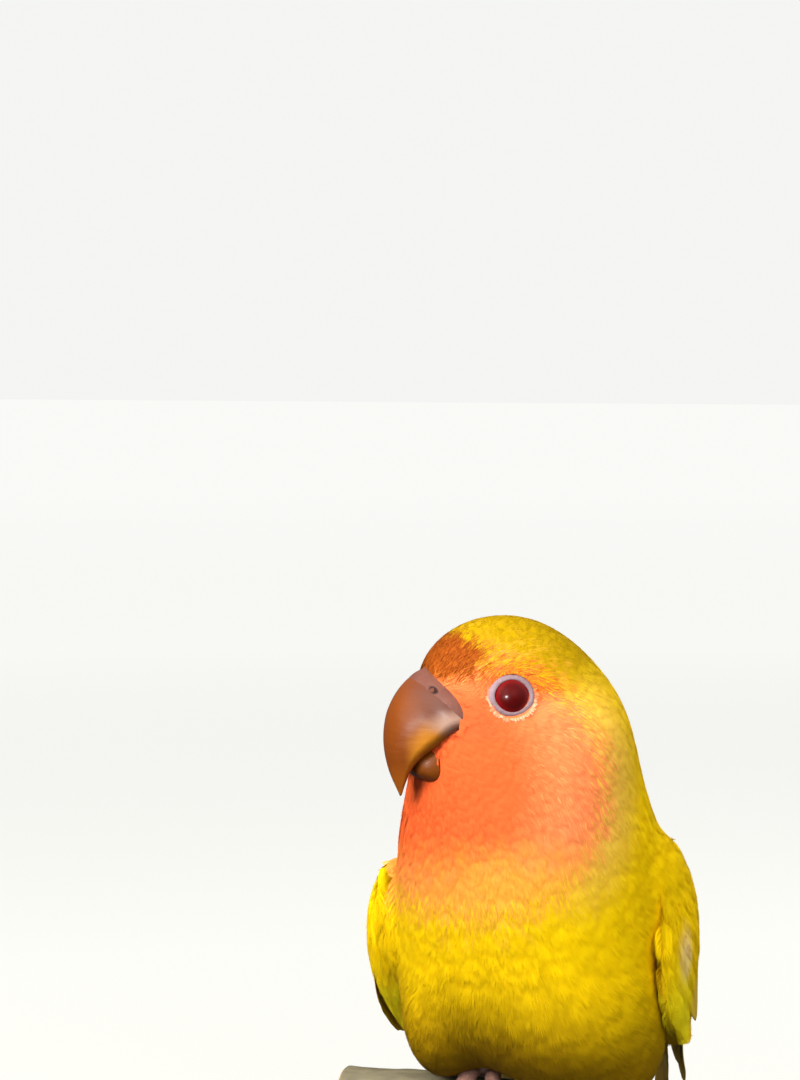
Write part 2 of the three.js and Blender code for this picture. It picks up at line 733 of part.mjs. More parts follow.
function meshOf(made, name, material) {
  const { vertProperties, triVerts } = made.getMesh();
  const geometry = new THREE.BufferGeometry();
  geometry.setAttribute("position", new THREE.BufferAttribute(vertProperties, 3));
  geometry.setIndex(new THREE.BufferAttribute(triVerts, 1));
  const mesh = new THREE.Mesh(geometry, material);
  mesh.name = name;
  return mesh;
}

const bird = new THREE.Group();
bird.position.set(0, PERCH_Y, PERCH_TOP_Z);
bird.add(meshOf(head, "head", faceFeathers));
bird.add(meshOf(beakUpper, "beak_upper", hornyBill));
bird.add(meshOf(beakLower, "beak_lower", hornyBill));
bird.add(meshOf(cere, "cere", bareSkin));
bird.add(meshOf(solid(ringGeometry(neckRings)), "neck", faceFeathers));
bird.add(meshOf(torso, "torso", yellowFeathers));
bird.add(meshOf(tail, "tail", yellowFeathers));
bird.add(meshOf(perch, "perch", bark));

const model = new THREE.Group();
model.add(bird);
model.add(meshOf(roundedPlate(), "stand_base", paintedWood));
for (const [name, side] of Object.entries(SIDES)) {
  bird.add(meshOf(eye(side), `eye_${name}`, redEye));
  bird.add(meshOf(wingSolid(name), `wing_${name}`, yellowFeathers));
  bird.add(meshOf(legs[name], `leg_${name}`, yellowFeathers));
  bird.add(meshOf(feet[name], `foot_${name}`, bareSkin));
  claws[name].forEach((claw, i) => bird.add(meshOf(claw, `claw_${name}_${i + 1}`, clawHorn)));
  model.add(meshOf(rodSolid(side * ROD_X), `stand_rod_${name}`, brushedSteel));
}

export default model;
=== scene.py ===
# A peach-faced lovebird of the yellow colour form with red eyes, life size, gripping a short branch on a
# plain display stand. Lengths are in millimetres from the top of the branch, midway between the feet, with
# the bird facing -Y and its head turned to its right; putMesh turns them into the frame's metres.

import bmesh
import bpy
import numpy as np
from mathutils import Matrix, Vector


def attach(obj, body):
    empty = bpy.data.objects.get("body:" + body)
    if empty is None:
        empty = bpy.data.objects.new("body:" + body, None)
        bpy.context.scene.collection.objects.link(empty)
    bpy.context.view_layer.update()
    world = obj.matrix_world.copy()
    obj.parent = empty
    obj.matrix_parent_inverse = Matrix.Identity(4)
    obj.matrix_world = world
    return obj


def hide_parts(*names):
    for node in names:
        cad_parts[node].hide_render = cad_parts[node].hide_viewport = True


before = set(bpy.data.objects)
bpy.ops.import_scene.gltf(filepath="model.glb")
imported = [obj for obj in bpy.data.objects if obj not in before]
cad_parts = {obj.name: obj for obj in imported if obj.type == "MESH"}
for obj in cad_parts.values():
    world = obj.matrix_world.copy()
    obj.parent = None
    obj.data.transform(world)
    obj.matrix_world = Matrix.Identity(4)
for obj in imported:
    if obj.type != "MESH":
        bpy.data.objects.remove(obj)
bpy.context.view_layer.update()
random = np.random.default_rng(7)

# where the bird stands in the frame: its branch lies forward of the stand's middle
placing = dict(origin=(0, -25, 52), metres=0.001)


def smooth(value, low, high):
    # 0 below low, 1 above high, eased between
    share = np.clip((value - low) / (high - low), 0, 1)
    return share * share * (3 - 2 * share)


def mix(a, b, share):
    return a + (b - a) * share


def unit(vectors):
    return vectors / np.maximum(np.linalg.norm(vectors, axis=-1, keepdims=True), 1e-9)


def dot(a, b):
    return (a * b).sum(-1, keepdims=True)


def curveAt(points, share):
    # a smooth curve through all its points (uniform Catmull-Rom, ends mirrored), and its direction
    points = np.asarray(points, float)
    ends = np.vstack([2 * points[0] - points[1], points, 2 * points[-1] - points[-2]])
    place = np.clip(share, 0, 1) * (len(points) - 1)
    first = np.minimum(place.astype(int), len(points) - 2)
    f = (place - first)[..., None]
    a, b, c, d = (ends[first + step] for step in range(4))
    middle = 2 * a - 5 * b + 4 * c - d
    last = 3 * b - a - 3 * c + d
    where = 0.5 * (2 * b + (c - a) * f + middle * f**2 + last * f**3)
    return where, unit((c - a) + 2 * middle * f + 3 * last * f**2)


def evenCurve(points, share):
    # the same curve, with share measured along its length
    steps = np.linspace(0, 1, 401)
    where, _ = curveAt(points, steps)
    lengths = np.r_[0, np.cumsum(np.linalg.norm(np.diff(where, axis=0), axis=1))]
    return curveAt(points, np.interp(np.clip(share, 0, 1) * lengths[-1], lengths, steps))


def gridFaces(rows, columns, start=0):
    # the quads of a grid of points, row after row
    corner = start + (np.arange(rows - 1)[:, None] * columns + np.arange(columns - 1)).reshape(-1, 1)
    return corner + np.array([0, 1, columns + 1, columns])


def gridCoords(rows, columns):
    # 0 to 1 along the rows' direction and across it, one pair for each point of a grid
    along, across = np.meshgrid(np.linspace(0, 1, rows), np.linspace(0, 1, columns), indexing="ij")
    return np.stack([across, along], -1).reshape(-1, 2)


def putMesh(name, points, faces, material, maps={}, colours={}, weld=0.001, outwards=False, shading=None):
    # puts whole arrays into a mesh: maps are UV maps, colours are attributes and shading gives normals
    mesh = bpy.data.meshes.new(name)
    places = (np.asarray(points, float) + placing["origin"]) * placing["metres"]
    faces = np.asarray(faces)
    mesh.vertices.add(len(places))
    mesh.vertices.foreach_set("co", places.ravel())
    mesh.loops.add(faces.size)
    mesh.loops.foreach_set("vertex_index", faces.ravel().astype(np.int32))
    mesh.polygons.add(len(faces))
    mesh.polygons.foreach_set("loop_start", np.arange(0, faces.size, faces.shape[1], dtype=np.int32))
    mesh.update(calc_edges=True)
    for title, coords in maps.items():
        mesh.uv_layers.new(name=title).data.foreach_set("uv", coords[faces.ravel()].ravel())
    for title, values in colours.items():
        attribute = mesh.attributes.new(title, "FLOAT_COLOR", "POINT")
        attribute.data.foreach_set("color", values.astype(np.float32).ravel())
    if weld:
        closeSeams(mesh, weld * placing["metres"], outwards)
    mesh.polygons.foreach_set("use_smooth", np.ones(len(mesh.polygons), bool))
    if shading is not None:
        normals = mesh.attributes.new("custom_normal", "FLOAT_VECTOR", "POINT")
        normals.data.foreach_set("vector", shading.astype(np.float32).ravel())
    mesh.materials.append(material)
    piece = bpy.data.objects.new(name, mesh)
    bpy.context.scene.collection.objects.link(piece)
    return piece


def closeSeams(mesh, distance, outwards):
    # joins the doubled points of seams and poles, and where asked turns the faces outwards
    work = bmesh.new()
    work.from_mesh(mesh)
    bmesh.ops.remove_doubles(work, verts=work.verts, dist=distance)
    bmesh.ops.dissolve_degenerate(work, edges=work.edges, dist=distance / 2)
    if outwards:
        bmesh.ops.recalc_face_normals(work, faces=work.faces)
    work.to_mesh(mesh)
    work.free()


# Camera: the photo looks slightly down on the bird from its left front
view = dict(azimuth=17, elevation=10, distance=500, pivot=(0, 0, 35), pivotPixel=(528, 869),
            pixelsPerMm=6, picture=(800, 1080), sensorHeight=27, clip=(0.01, 20))


def makeCamera():
    # stands at the azimuth and elevation from the pivot, and aims so that the pivot falls on its pixel
    turn, lift = np.radians([view["azimuth"], view["elevation"]])
    away = np.array([np.sin(turn) * np.cos(lift), -np.cos(turn) * np.cos(lift), np.sin(lift)])
    right = np.array([np.cos(turn), np.sin(turn), 0])
    up = np.cross(right, -away)
    width, height = view["picture"]
    across, down = view["pivotPixel"]
    pivot = np.array(view["pivot"], float)
    aim = pivot + (right * (width / 2 - across) + up * (down - height / 2)) / view["pixelsPerMm"]
    stand = pivot + away * view["distance"]
    data = bpy.data.cameras.new("photoView")
    data.sensor_fit = "VERTICAL"
    data.sensor_height = view["sensorHeight"]
    focalPixels = view["pixelsPerMm"] * view["distance"]
    data.lens = focalPixels * view["sensorHeight"] / height
    data.clip_start, data.clip_end = view["clip"]
    camera = bpy.data.objects.new("photoView", data)
    camera.location = (stand + placing["origin"]) * placing["metres"]
    camera.rotation_euler = Vector(aim - stand).to_track_quat("-Z", "Y").to_euler()
    bpy.context.scene.collection.objects.link(camera)
    bpy.context.scene.camera = camera


makeCamera()


# Studio: a pale floor that runs into a pale surround, a large soft lamp high on the left, a weaker one on
# the right, one behind, and a small one by the camera for the light in the eye
studio = dict(surround="#f9faf7", seen=0.96, sky=0.36, ground=0.1, floor="#8f8f8c", floorSize=16.0, aim=35,
              horizon=(-0.3, 0.5), glow=((0.0, 0.5), (0.35, 0.68), (1.2, 0.86), (3.0, 0.9)),
              lamps=dict(key=((-240, -450, 400), 460, 9.0, "#fff9ee"),
                         fill=((370, -420, 360), 460, 4.8, "#fffdf6"),
                         back=((160, 420, 420), 380, 1.3, "#ffffff"),
                         spark=((-95, -600, 80), 110, 2.2, "#ffffff")))
bpy.context.scene.view_settings.view_transform = "Standard"


def linearColour(hexText):
    # an sRGB hex colour as the linear colour that Blender's sockets hold
    levels = [int(hexText[i : i + 2], 16) / 255 for i in (1, 3, 5)]
    return [v / 12.92 if v <= 0.04045 else ((v + 0.055) / 1.055) ** 2.4 for v in levels] + [1]


def addNode(tree, kind, links={}, **settings):
    # a node with its settings; links gives what feeds each of its inputs, a value or another node's output
    node = tree.nodes.new(kind)
    for key, value in settings.items():
        setattr(node, key, value)
    for key, value in links.items():
        socket = node.inputs[key]
        if isinstance(value, bpy.types.NodeSocket):
            tree.links.new(value, socket)
        else:
            socket.default_value = linearColour(value) if isinstance(value, str) else value
    return node


def newMaterial(name, **sockets):
    # a Principled material whose same-all-over numbers and colours sit on its own sockets
    material = bpy.data.materials.new(name)
    material.use_nodes = True
    shader = material.node_tree.nodes["Principled BSDF"]
    for key, value in sockets.items():
        socket = shader.inputs[key.replace("_", " ")]
        socket.default_value = linearColour(value) if isinstance(value, str) else value
    return material, material.node_tree, shader


def objectCoords(tree):
    return addNode(tree, "ShaderNodeTexCoord").outputs["Object"]


def mathOf(tree, kind, a, b=0.5):
    return addNode(tree, "ShaderNodeMath", {0: a, 1: b}, operation=kind).outputs[0]


def scaled(tree, value, factor, offset=0.0):
    links = {0: value, 1: factor, 2: offset}
    return addNode(tree, "ShaderNodeMath", links, operation="MULTIPLY_ADD").outputs[0]


def rampOf(tree, value, low, high, first=0.0, last=1.0, kind="LINEAR"):
    # goes from first to last as the value goes from low to high, and no further
    links = {"Value": value, "From Min": low, "From Max": high, "To Min": first, "To Max": last}
    return addNode(tree, "ShaderNodeMapRange", links, interpolation_type=kind).outputs["Result"]


def lengthOf(tree, place):
    return addNode(tree, "ShaderNodeVectorMath", {0: place}, operation="LENGTH").outputs["Value"]


def mixColour(tree, share, a, b, kind="MIX"):
    node = addNode(tree, "ShaderNodeMix", {0: share, 6: a, 7: b}, data_type="RGBA", blend_type=kind)
    return node.outputs[2]


def darkened(tree, colour, level):
    # a colour times a grey level
    grey = addNode(tree, "ShaderNodeCombineColor", {0: level, 1: level, 2: level}).outputs[0]
    return mixColour(tree, 1.0, colour, grey, "MULTIPLY")


def noiseOf(tree, coords, scale, detail=3.0, stretch=(1, 1, 1)):
    mapped = addNode(tree, "ShaderNodeMapping", {"Vector": coords, "Scale": stretch})
    links = {"Vector": mapped.outputs[0], "Scale": scale, "Detail": detail}
    return addNode(tree, "ShaderNodeTexNoise", links).outputs[0]


def bumpOf(tree, shader, height, distance, strength=1.0):
    bump = addNode(tree, "ShaderNodeBump", {"Height": height, "Distance": distance * placing["metres"],
                                            "Strength": strength})
    tree.links.new(bump.outputs[0], shader.inputs["Normal"])


def makeSurround():
    # the camera sees a pale surround; the bird is lit by a soft sky of the same colour, dimmer from below
    world = bpy.data.worlds.new("paleSurround")
    bpy.context.scene.world = world
    world.use_nodes = True
    tree = world.node_tree
    way = addNode(tree, "ShaderNodeTexCoord").outputs["Generated"]
    height = addNode(tree, "ShaderNodeSeparateXYZ", {0: way}).outputs[2]
    lit = rampOf(tree, height, *studio["horizon"], studio["ground"], studio["sky"])
    seen = addNode(tree, "ShaderNodeLightPath").outputs["Is Camera Ray"]
    strength = rampOf(tree, seen, 0.0, 1.0, lit, studio["seen"])
    tree.links.new(strength, tree.nodes["Background"].inputs["Strength"])
    tree.nodes["Background"].inputs["Color"].default_value = linearColour(studio["surround"])


def makeLamps():
    # the three large lamps light matt surfaces, the small one shows in wet and polished parts
    middle = (Vector(placing["origin"]) + Vector((0, 0, studio["aim"]))) * placing["metres"]
    for name, (place, size, power, colour) in studio["lamps"].items():
        light = bpy.data.lights.new(name, "AREA")
        light.size = size * placing["metres"]
        light.energy = power
        light.color = linearColour(colour)[:3]
        lamp = bpy.data.objects.new(name, light)
        lamp.visible_glossy, lamp.visible_diffuse = name == "spark", name != "spark"
        lamp.location = middle + Vector(place) * placing["metres"]
        lamp.rotation_euler = (middle - lamp.location).to_track_quat("-Z", "Y").to_euler()
        bpy.context.scene.collection.objects.link(lamp)


def makeFloor():
    # matt paper that glows towards its far edge, so that it melts into the surround; it throws no
    # light up at the bird, as the photo's lower belly is dark
    paper, tree, shader = newMaterial("matt backdrop paper", Base_Color=studio["floor"], Roughness=0.9,
                                      Specular_IOR_Level=0.1, Emission_Color=studio["surround"])
    reach = lengthOf(tree, objectCoords(tree))
    glow = studio["glow"][0][1]
    for (near, low), (far, high) in zip(studio["glow"], studio["glow"][1:]):
        glow = mathOf(tree, "ADD", rampOf(tree, reach, near, far, 0.0, high - low), glow)
    tree.links.new(glow, shader.inputs["Emission Strength"])
    half = studio["floorSize"] / placing["metres"] / 2
    corners = np.array([[-half, -half, 0], [half, -half, 0], [half, half, 0], [-half, half, 0]])
    floor = putMesh("floor", corners - placing["origin"], [[0, 1, 2, 3]], paper, weld=0)
    floor.visible_diffuse, floor.visible_glossy = False, False


makeSurround()
makeLamps()
makeFloor()
print("camera and studio are ready")


# The body: soft forms run together, the same as the source's, each with its centre, radii and axes
head = dict(yaw=50, centre=(1.2, -8, 64), eye=(5.65, 9.2, 1.9), eyeLook=(0.2, 0.96, 0.18),
            eyeRadius=3.6, ringOuter=3.65)
headTurn = np.radians(head["yaw"])
headAxes = np.array([[-np.sin(headTurn), -np.cos(headTurn), 0],
                     [np.cos(headTurn), -np.sin(headTurn), 0],
                     [0, 0, 1]])
body = dict(blend=3.4, blendTrim=1.7)


def inHead(places):
    # places given forward, left and up from the middle of the head
    return np.asarray(places, float) @ headAxes + head["centre"]


def toHead(points):
    return (points - head["centre"]) @ headAxes.T


def bodyForm(centre, radii, pitch=0):
    turn = np.radians(pitch)
    axes = np.array([[1, 0, 0], [0, -np.cos(turn), np.sin(turn)], [0, np.sin(turn), np.cos(turn)]])
    return np.array(centre, float), np.array(radii, float), axes


def headForm(place, radii):
    return inHead(place), np.array(radii, float), headAxes


forms = [
    bodyForm((0, -3.8, 37.6), (20.9, 23.8, 19), 62),  # breast
    bodyForm((0, -1, 25.5), (20.8, 19.5, 15.5), 35),  # waist
    bodyForm((0.5, 1, 17), (19.7, 17.9, 14), 12),  # belly
    bodyForm((0, 12, 31), (18.5, 26, 16), 50),  # back
    bodyForm((0, 29, 12), (12.5, 20, 9), 40),  # rump
    bodyForm((10.4, 6.2, 6.3), (12.7, 14, 14.1)),  # left flank, fluffed out over the branch
    bodyForm((6.5, -3.5, 11), (12.5, 10.8, 10.6)),  # feathers over the left thigh
    bodyForm((-13.2, -2.5, 9.6), (7.5, 11.1, 10.8)),  # feathers over the right thigh
    bodyForm((11, 3, 39), (9.5, 12, 9.5), 40),  # left shoulder
    bodyForm((1.4, -2, 50), (16.3, 18, 15.9)),  # neck
    headForm((1.5, 0, 0.9), (13.8, 12.5, 13.7)),  # crown
    headForm((7.6, 0, 2.6), (9.6, 8, 9.5)),  # forehead
    headForm((6, 0, -7.9), (10.6, 10.6, 10)),  # cheeks and chin
    headForm((-6.8, 0, -6.9), (11.5, 14.9, 13.6)),  # nape
]
spine = [(0, 46, -3), (0, 32, 9), (0, 18, 19), (0, 5, 29), (0, -3, 40), (0.3, -6, 52), (-0.9, -9.9, 65),
         (-1.15, -10.2, 80)]


# how the feathers' depth and size grow with the distance from the bill's root, from the face to the body
growth = dict(billRoot=(14, 0, -2), depth=(0.38, 0.85), depthOver=(6, 48), sizeOver=(5, 46))


def fromBillRoot(points):
    return np.linalg.norm(toHead(points) - growth["billRoot"], axis=-1)


def coatDepth(points):
    # how thick the feathers lie: thin on the face, thicker down the neck and deepest on the body
    return mix(*growth["depth"], smooth(fromBillRoot(points), *growth["depthOver"]))


def coatScale(points):
    # 0 on the face by the bill, 1 on the body
    return smooth(fromBillRoot(points), *growth["sizeOver"])


def formGap(points, form):
    # how far outside an ellipsoid: about k(k-1)/slope, with k the distance from its centre in its own radii
    centre, radii, axes = form
    parts = (points - centre) @ axes.T
    reach = np.linalg.norm(parts / radii, axis=-1)
    slope = np.linalg.norm(parts / radii**2, axis=-1)
    return reach * (reach - 1) / np.maximum(slope, 1e-6)


def runTogether(gaps, softness):
    # the least of several gaps, rounded off where two of them are nearly equal
    gaps = np.stack(gaps)
    least = gaps.min(0)
    return least - softness * np.log(np.exp((least - gaps) / softness).sum(0))


def bodyGap(points):
    return runTogether([formGap(points, form) for form in forms], body["blend"]) + body["blendTrim"]


def skinGap(points):
    return bodyGap(points) + coatDepth(points)


def outward(points, gap=skinGap, step=0.05):
    # the direction in which the gap grows fastest
    slopes = [gap(points + way) - gap(points - way) for way in np.eye(3) * step]
    return unit(np.stack(slopes, -1))


def ringFrame(share):
    # the middle of a ring on the spine, and its two directions square to the spine
    middle, along = curveAt(spine, share)
    back = unit(np.cross(along, [1.0, 0, 0]))
    return middle, np.cross(back, along), back


def skinPoints(share, turn):
    # goes out from the spine, square to it and at an angle, to where the gap is zero, by halving
    middle, side, back = ringFrame(share)
    ray = side * np.cos(turn)[..., None] + back * np.sin(turn)[..., None]
    near, far = np.zeros(ray.shape[:-1]), np.full(ray.shape[:-1], 3.0)
    for _ in range(24):
        inside = skinGap(middle + ray * far[..., None]) < 0
        near, far = np.where(inside, far, near), np.where(inside, far + 1.5, far)
    for _ in range(14):
        half = (near + far) / 2
        inside = skinGap(middle + ray * half[..., None]) < 0
        near, far = np.where(inside, half, near), np.where(inside, far, half)
    return middle + ray * near[..., None]


def skinGrid(rows, columns):
    # rings from the rump's end to the crown, closer together towards both poles
    trial = np.linspace(0, 1, 2001)
    within = trial[skinGap(curveAt(spine, trial)[0]) < 0]
    even = np.linspace(0, 1, rows)
    eased = mix(even, 0.5 - 0.5 * np.cos(np.pi * even), 0.55)
    share = mix(within[0], within[-1], eased)[:, None] + np.zeros(columns)
    turn = np.zeros((rows, 1)) + np.linspace(0, 2 * np.pi, columns)
    points = skinPoints(share, turn)
    points[0], points[-1] = points[0].mean(0), points[-1].mean(0)
    return points, share


skin = dict(rows=230, columns=181)
skinGridPoints, skinShare = skinGrid(**skin)
print("the body's skin is worked out")


# Plumage: keratin barbs coloured by pigment, matt and a little satiny along their lie; painted shade darkens
# the lower belly, the crown and each barb's root, and painted light brightens the wings' leading edges.
# Zones are ellipsoids, those of the face in the head's frame: forward, left and up from its middle. One that
# takes in both sides of the head has a very long radius across it.
bothSides = 900
plumage = dict(yellow="#f2cd02", deepYellow="#dcb202", sideYellow="#deb350", warm="#eeac38", crown="#aa8902",
               peach="#ec6432", palePeach="#ef8450", lore="#cc5c32", eyeBand="#cf5020", forehead="#6e2a03",
               foreheadStreak="#a9561a", shadeYellow="#7c5a02", hair="#f6bd72", lash="#efc3a0",
               wing="#f8d404", wingDeep="#deb405", wingEdgeLight="#fdee1c", wingPatch="#efd49a",
               face=((12, 0, -12.5), (21.6, bothSides, 21.5)), throat=((15, 0, -12), (11, bothSides, 14)),
               brow=((16.5, 0, 8.6), (8.2, bothSides, 4.4)), band=((2, 0, 5.2), (11, bothSides, 4)),
               loreZone=((13, 0, -1), (6, bothSides, 5)), cheekEdge=((-5, 0, -12), (9, bothSides, 16)),
               bib=((5, 0, -30), (16, bothSides, 9)), patchZone=((25, 5.5, 21), (3, 3.2, 6)),
               crownShadeZone=((0, 0, 13), (17, bothSides, 13)), bellyShadeZone=((-2, 2, -1), (42, 34, 24)),
               patch=60)


def zone(tree, coords, place, radii, inside, outside, shift=None, ofHead=True):
    # 1 where a place's distance in an ellipsoid's own radii is under inside, 0 past outside
    where = ((inHead(place) if ofHead else np.array(place)) + placing["origin"]) * placing["metres"]
    turned = np.radians(270 - head["yaw"]) if ofHead else 0
    mapped = addNode(tree, "ShaderNodeMapping", {
        "Vector": coords, "Location": tuple(where), "Rotation": (0, 0, turned),
        "Scale": tuple(np.array(radii) * placing["metres"])}, vector_type="TEXTURE")
    reach = lengthOf(tree, mapped.outputs[0])
    if shift is not None:
        reach = mathOf(tree, "ADD", reach, shift)
    return rampOf(tree, reach, outside, inside, kind="SMOOTHSTEP")


def shaded(tree, colour, along, feather):
    # each barb is painted a little darker towards its root, as shade under the feathers that lie over it, and
    # each feather is a little lighter or darker at random
    shade = scaled(tree, along, 0.12, 0.9)
    own = scaled(tree, feather, 0.1, 0.95)
    return darkened(tree, colour, mathOf(tree, "MULTIPLY", shade, own))


def bodyColour(tree, coords, strand):
    # yellow with soft patches, the face peach within its zone, painted shade on the lower belly and the
    # crown; each barb shifts the borders a little
    own, along, feather = addNode(tree, "ShaderNodeSeparateColor", {0: strand.outputs["Color"]}).outputs
    shift = scaled(tree, own, 0.26, -0.13)
    streaky = mathOf(tree, "ADD", scaled(tree, feather, 0.3, -0.15), shift)
    spots = noiseOf(tree, coords, plumage["patch"])
    side = zone(tree, coords, *plumage["cheekEdge"], 0.6, 1.5, shift)
    colour = mixColour(tree, scaled(tree, spots, 0.9, -0.15), plumage["yellow"], plumage["deepYellow"])
    colour = mixColour(tree, scaled(tree, side, 0.8), colour, plumage["sideYellow"])
    # painted shade: the lower belly darkens to olive, standing in for the shade under the body
    under = zone(tree, coords, *plumage["bellyShadeZone"], 0.5, 1.16, scaled(tree, feather, 0.1, -0.05), False)
    colour = mixColour(tree, scaled(tree, under, 0.9), colour, plumage["shadeYellow"])
    # painted shade: the crown is a darker yellow, standing in for less light on the top of the head
    top = zone(tree, coords, *plumage["crownShadeZone"], 0.5, 1.2, shift)
    colour = mixColour(tree, top, colour, plumage["crown"])
    halo = zone(tree, coords, *plumage["face"], 0.9, 1.14, streaky)
    colour = mixColour(tree, scaled(tree, halo, 0.5), colour, plumage["warm"])
    throat = zone(tree, coords, *plumage["throat"], 0.7, 1.5, shift)
    peach = mixColour(tree, throat, plumage["palePeach"], plumage["peach"])
    bib = zone(tree, coords, *plumage["bib"], 0.2, 1.3, streaky)
    peach = mixColour(tree, scaled(tree, bib, 0.85), peach, plumage["warm"])
    lore = zone(tree, coords, *plumage["loreZone"], 0.4, 1.2, shift)
    peach = mixColour(tree, scaled(tree, lore, 0.7), peach, plumage["lore"])
    band = zone(tree, coords, *plumage["band"], 0.5, 1.15, streaky)
    peach = mixColour(tree, scaled(tree, band, 0.95), peach, plumage["eyeBand"])
    hairs = mathOf(tree, "MULTIPLY", rampOf(tree, own, 0.75, 1.0, 0.0, 0.4), side)
    peach = mixColour(tree, hairs, peach, plumage["hair"])
    face = zone(tree, coords, *plumage["face"], 0.86, 1.06, shift)
    colour = mixColour(tree, face, colour, peach)
    brow = zone(tree, coords, *plumage["brow"], 0.72, 1.2, streaky)
    streaks = mixColour(tree, own, plumage["forehead"], plumage["foreheadStreak"])
    colour = mixColour(tree, brow, colour, streaks)
    colour = mixColour(tree, strand.outputs["Alpha"], colour, plumage["lash"])
    return shaded(tree, colour, along, feather)


def wingColour(tree, coords, strand):
    # deeper yellow, painted light as a paler lemon along the leading edge by the attribute's alpha, a dull
    # patch at the bend
    own, along, feather = addNode(tree, "ShaderNodeSeparateColor", {0: strand.outputs["Color"]}).outputs
    shift = scaled(tree, own, 0.4, -0.2)
    spots = noiseOf(tree, coords, plumage["patch"])
    colour = mixColour(tree, scaled(tree, spots, 0.9, -0.1), plumage["wing"], plumage["wingDeep"])
    dull = zone(tree, coords, *plumage["patchZone"], 0.3, 1.1, shift, ofHead=False)
    colour = mixColour(tree, scaled(tree, dull, 0.8), colour, plumage["wingPatch"])
    # painted light: a paler lemon where the attribute marks the leading edge
    colour = mixColour(tree, strand.outputs["Alpha"], colour, plumage["wingEdgeLight"])
    return shaded(tree, colour, along, feather)


def makePlumage(name, colourOf):
    material, tree, shader = newMaterial(name, Roughness=0.8, Specular_IOR_Level=0.08, Sheen_Weight=0.06,
                                         Sheen_Roughness=0.45, Sheen_Tint="#f4b81e")
    strand = addNode(tree, "ShaderNodeAttribute", attribute_name="strand")
    tree.links.new(colourOf(tree, objectCoords(tree), strand), shader.inputs["Base Color"])
    return material


bodyFeathers = makePlumage("body feathers", bodyColour)
wingFeathers = makePlumage("wing feathers", wingColour)
# what the colours read where there are no barbs: own, along, feather and tone
plainStrand = (0.5, 0.4, 0.5, 0.0)


def putSkin(name, grid, material):
    # a smooth skin under small feathers, from a grid of points
    rows, columns = grid.shape[:2]
    plain = np.tile(plainStrand, (rows * columns, 1))
    piece = putMesh(name, grid.reshape(-1, 3), gridFaces(rows, columns), material,
                    maps=dict(OFBake=gridCoords(rows, columns)), colours=dict(strand=plain), outwards=True)
    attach(piece, "root")
    return piece


def makeSkin():
    piece = putSkin("skin", skinGridPoints, bodyFeathers)
    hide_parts("head", "neck", "torso", "leg_left", "leg_right")


makeSkin()
print("the skin is made")


# Eye and bill places that the feathers keep clear of
eyes = {"left": 1, "right": -1}


def eyeFrame(side):
    # an eye's middle in the bird's frame and the way it looks
    forward, left, up = head["eye"]
    middle = inHead((forward, side * left, up))
    forward, left, up = head["eyeLook"]
    return middle, unit(np.array([forward, side * left, up]) @ headAxes)


bill = dict(
    culmen=[(11.5, 6.6), (17.2, 5.6), (20.5, 3.2), (22.6, -0.6), (23.3, -5.2), (22.6, -9.8), (20.7, -14.4)],
    tomium=[(10, -2.6), (14.4, -3.2), (17, -6), (19, -8), (19.9, -9.6), (20.4, -12), (20.5, -14.2)],
    half=[8.6, 8.4, 6.1, 4.6, 3.4, 1.9, 0.3], ridge=(1.9, 1.05),
    jawTop=[(10, -3), (14, -3.6), (16.8, -6), (18.6, -7.6), (19.3, -9)],
    jawFloor=[(9, -13.5), (13.4, -12.9), (16.4, -12.3), (18.4, -11.2), (19.2, -10.2)],
    jawHalf=[5.8, 5.8, 5.2, 4.0, 2.0], jawSquare=0.7, hollow=0.12, back=8, clearance=0.15)


def profileAt(points, share):
    # a profile in the head's middle plane, as places forward, left and up
    flat = np.array([(forward, 0, up) for forward, up in points], float)
    return curveAt(flat, share)[0]


def widthAt(values, share):
    return curveAt(np.array([(i, value, 0) for i, value in enumerate(values)], float), share)[0][..., 1]


def upperBillPoints(share, turn):
    # a ring's upper half arches from the cutting edge to the ridge, its lower half is a shallow hollow
    edge, ridge = profileAt(bill["tomium"], share), profileAt(bill["culmen"], share)
    lift = np.where(np.sin(turn) > 0, np.abs(np.sin(turn)) ** 0.8, bill["hollow"] * np.abs(np.sin(turn)))
    places = mix(edge, ridge, lift[..., None])
    sharpness = np.where(np.sin(turn) > 0, mix(*bill["ridge"], np.minimum(2 * share, 1)), 1)
    closing = np.sign(np.cos(turn)) * np.abs(np.cos(turn)) ** sharpness
    places[..., 1] = widthAt(bill["half"], share) * closing
    return inHead(places)


def lowerBillPoints(share, turn):
    # rings between the jaw's floor and its top, with steep sides
    waves = (np.cos(turn), np.sin(turn))
    across, over = (np.sign(wave) * np.abs(wave) ** bill["jawSquare"] for wave in waves)
    places = mix(profileAt(bill["jawFloor"], share), profileAt(bill["jawTop"], share),
                 (0.5 + 0.5 * over)[..., None])
    places[..., 1] = widthAt(bill["jawHalf"], share) * across
    return inHead(places)


def ringLoft(shape, rows, columns, first=0.0, last=1.0):
    # a closed tube of rings of a shape of two parameters; its ends are drawn together to points
    share = np.linspace(first, last, rows)[:, None] + np.zeros(columns)
    turn = np.zeros((rows, 1)) + np.linspace(0, 2 * np.pi, columns)
    points = shape(share, turn)
    start, end = (row[:, :-1].mean(1, keepdims=True) + 0 * row for row in (points[:1], points[-1:]))
    return np.concatenate([start, points, end])


def clearOfBill(points):
    # true where a place on the skin stays out of both halves of the bill
    clear = np.ones(len(points), bool)
    near = np.nonzero(toHead(points)[:, 0] > bill["back"])[0]
    for shape in (upperBillPoints, lowerBillPoints):
        grid = ringLoft(shape, 30, 33)
        middle = grid.mean(1, keepdims=True) + 0 * grid
        grid, middle = grid.reshape(-1, 3), middle.reshape(-1, 3)
        nearest = ((points[near][:, None] - grid) ** 2).sum(-1).argmin(1)
        away = unit(grid[nearest] - middle[nearest])
        clear[near] &= ((points[near] - grid[nearest]) * away).sum(-1) > bill["clearance"]
    return clear


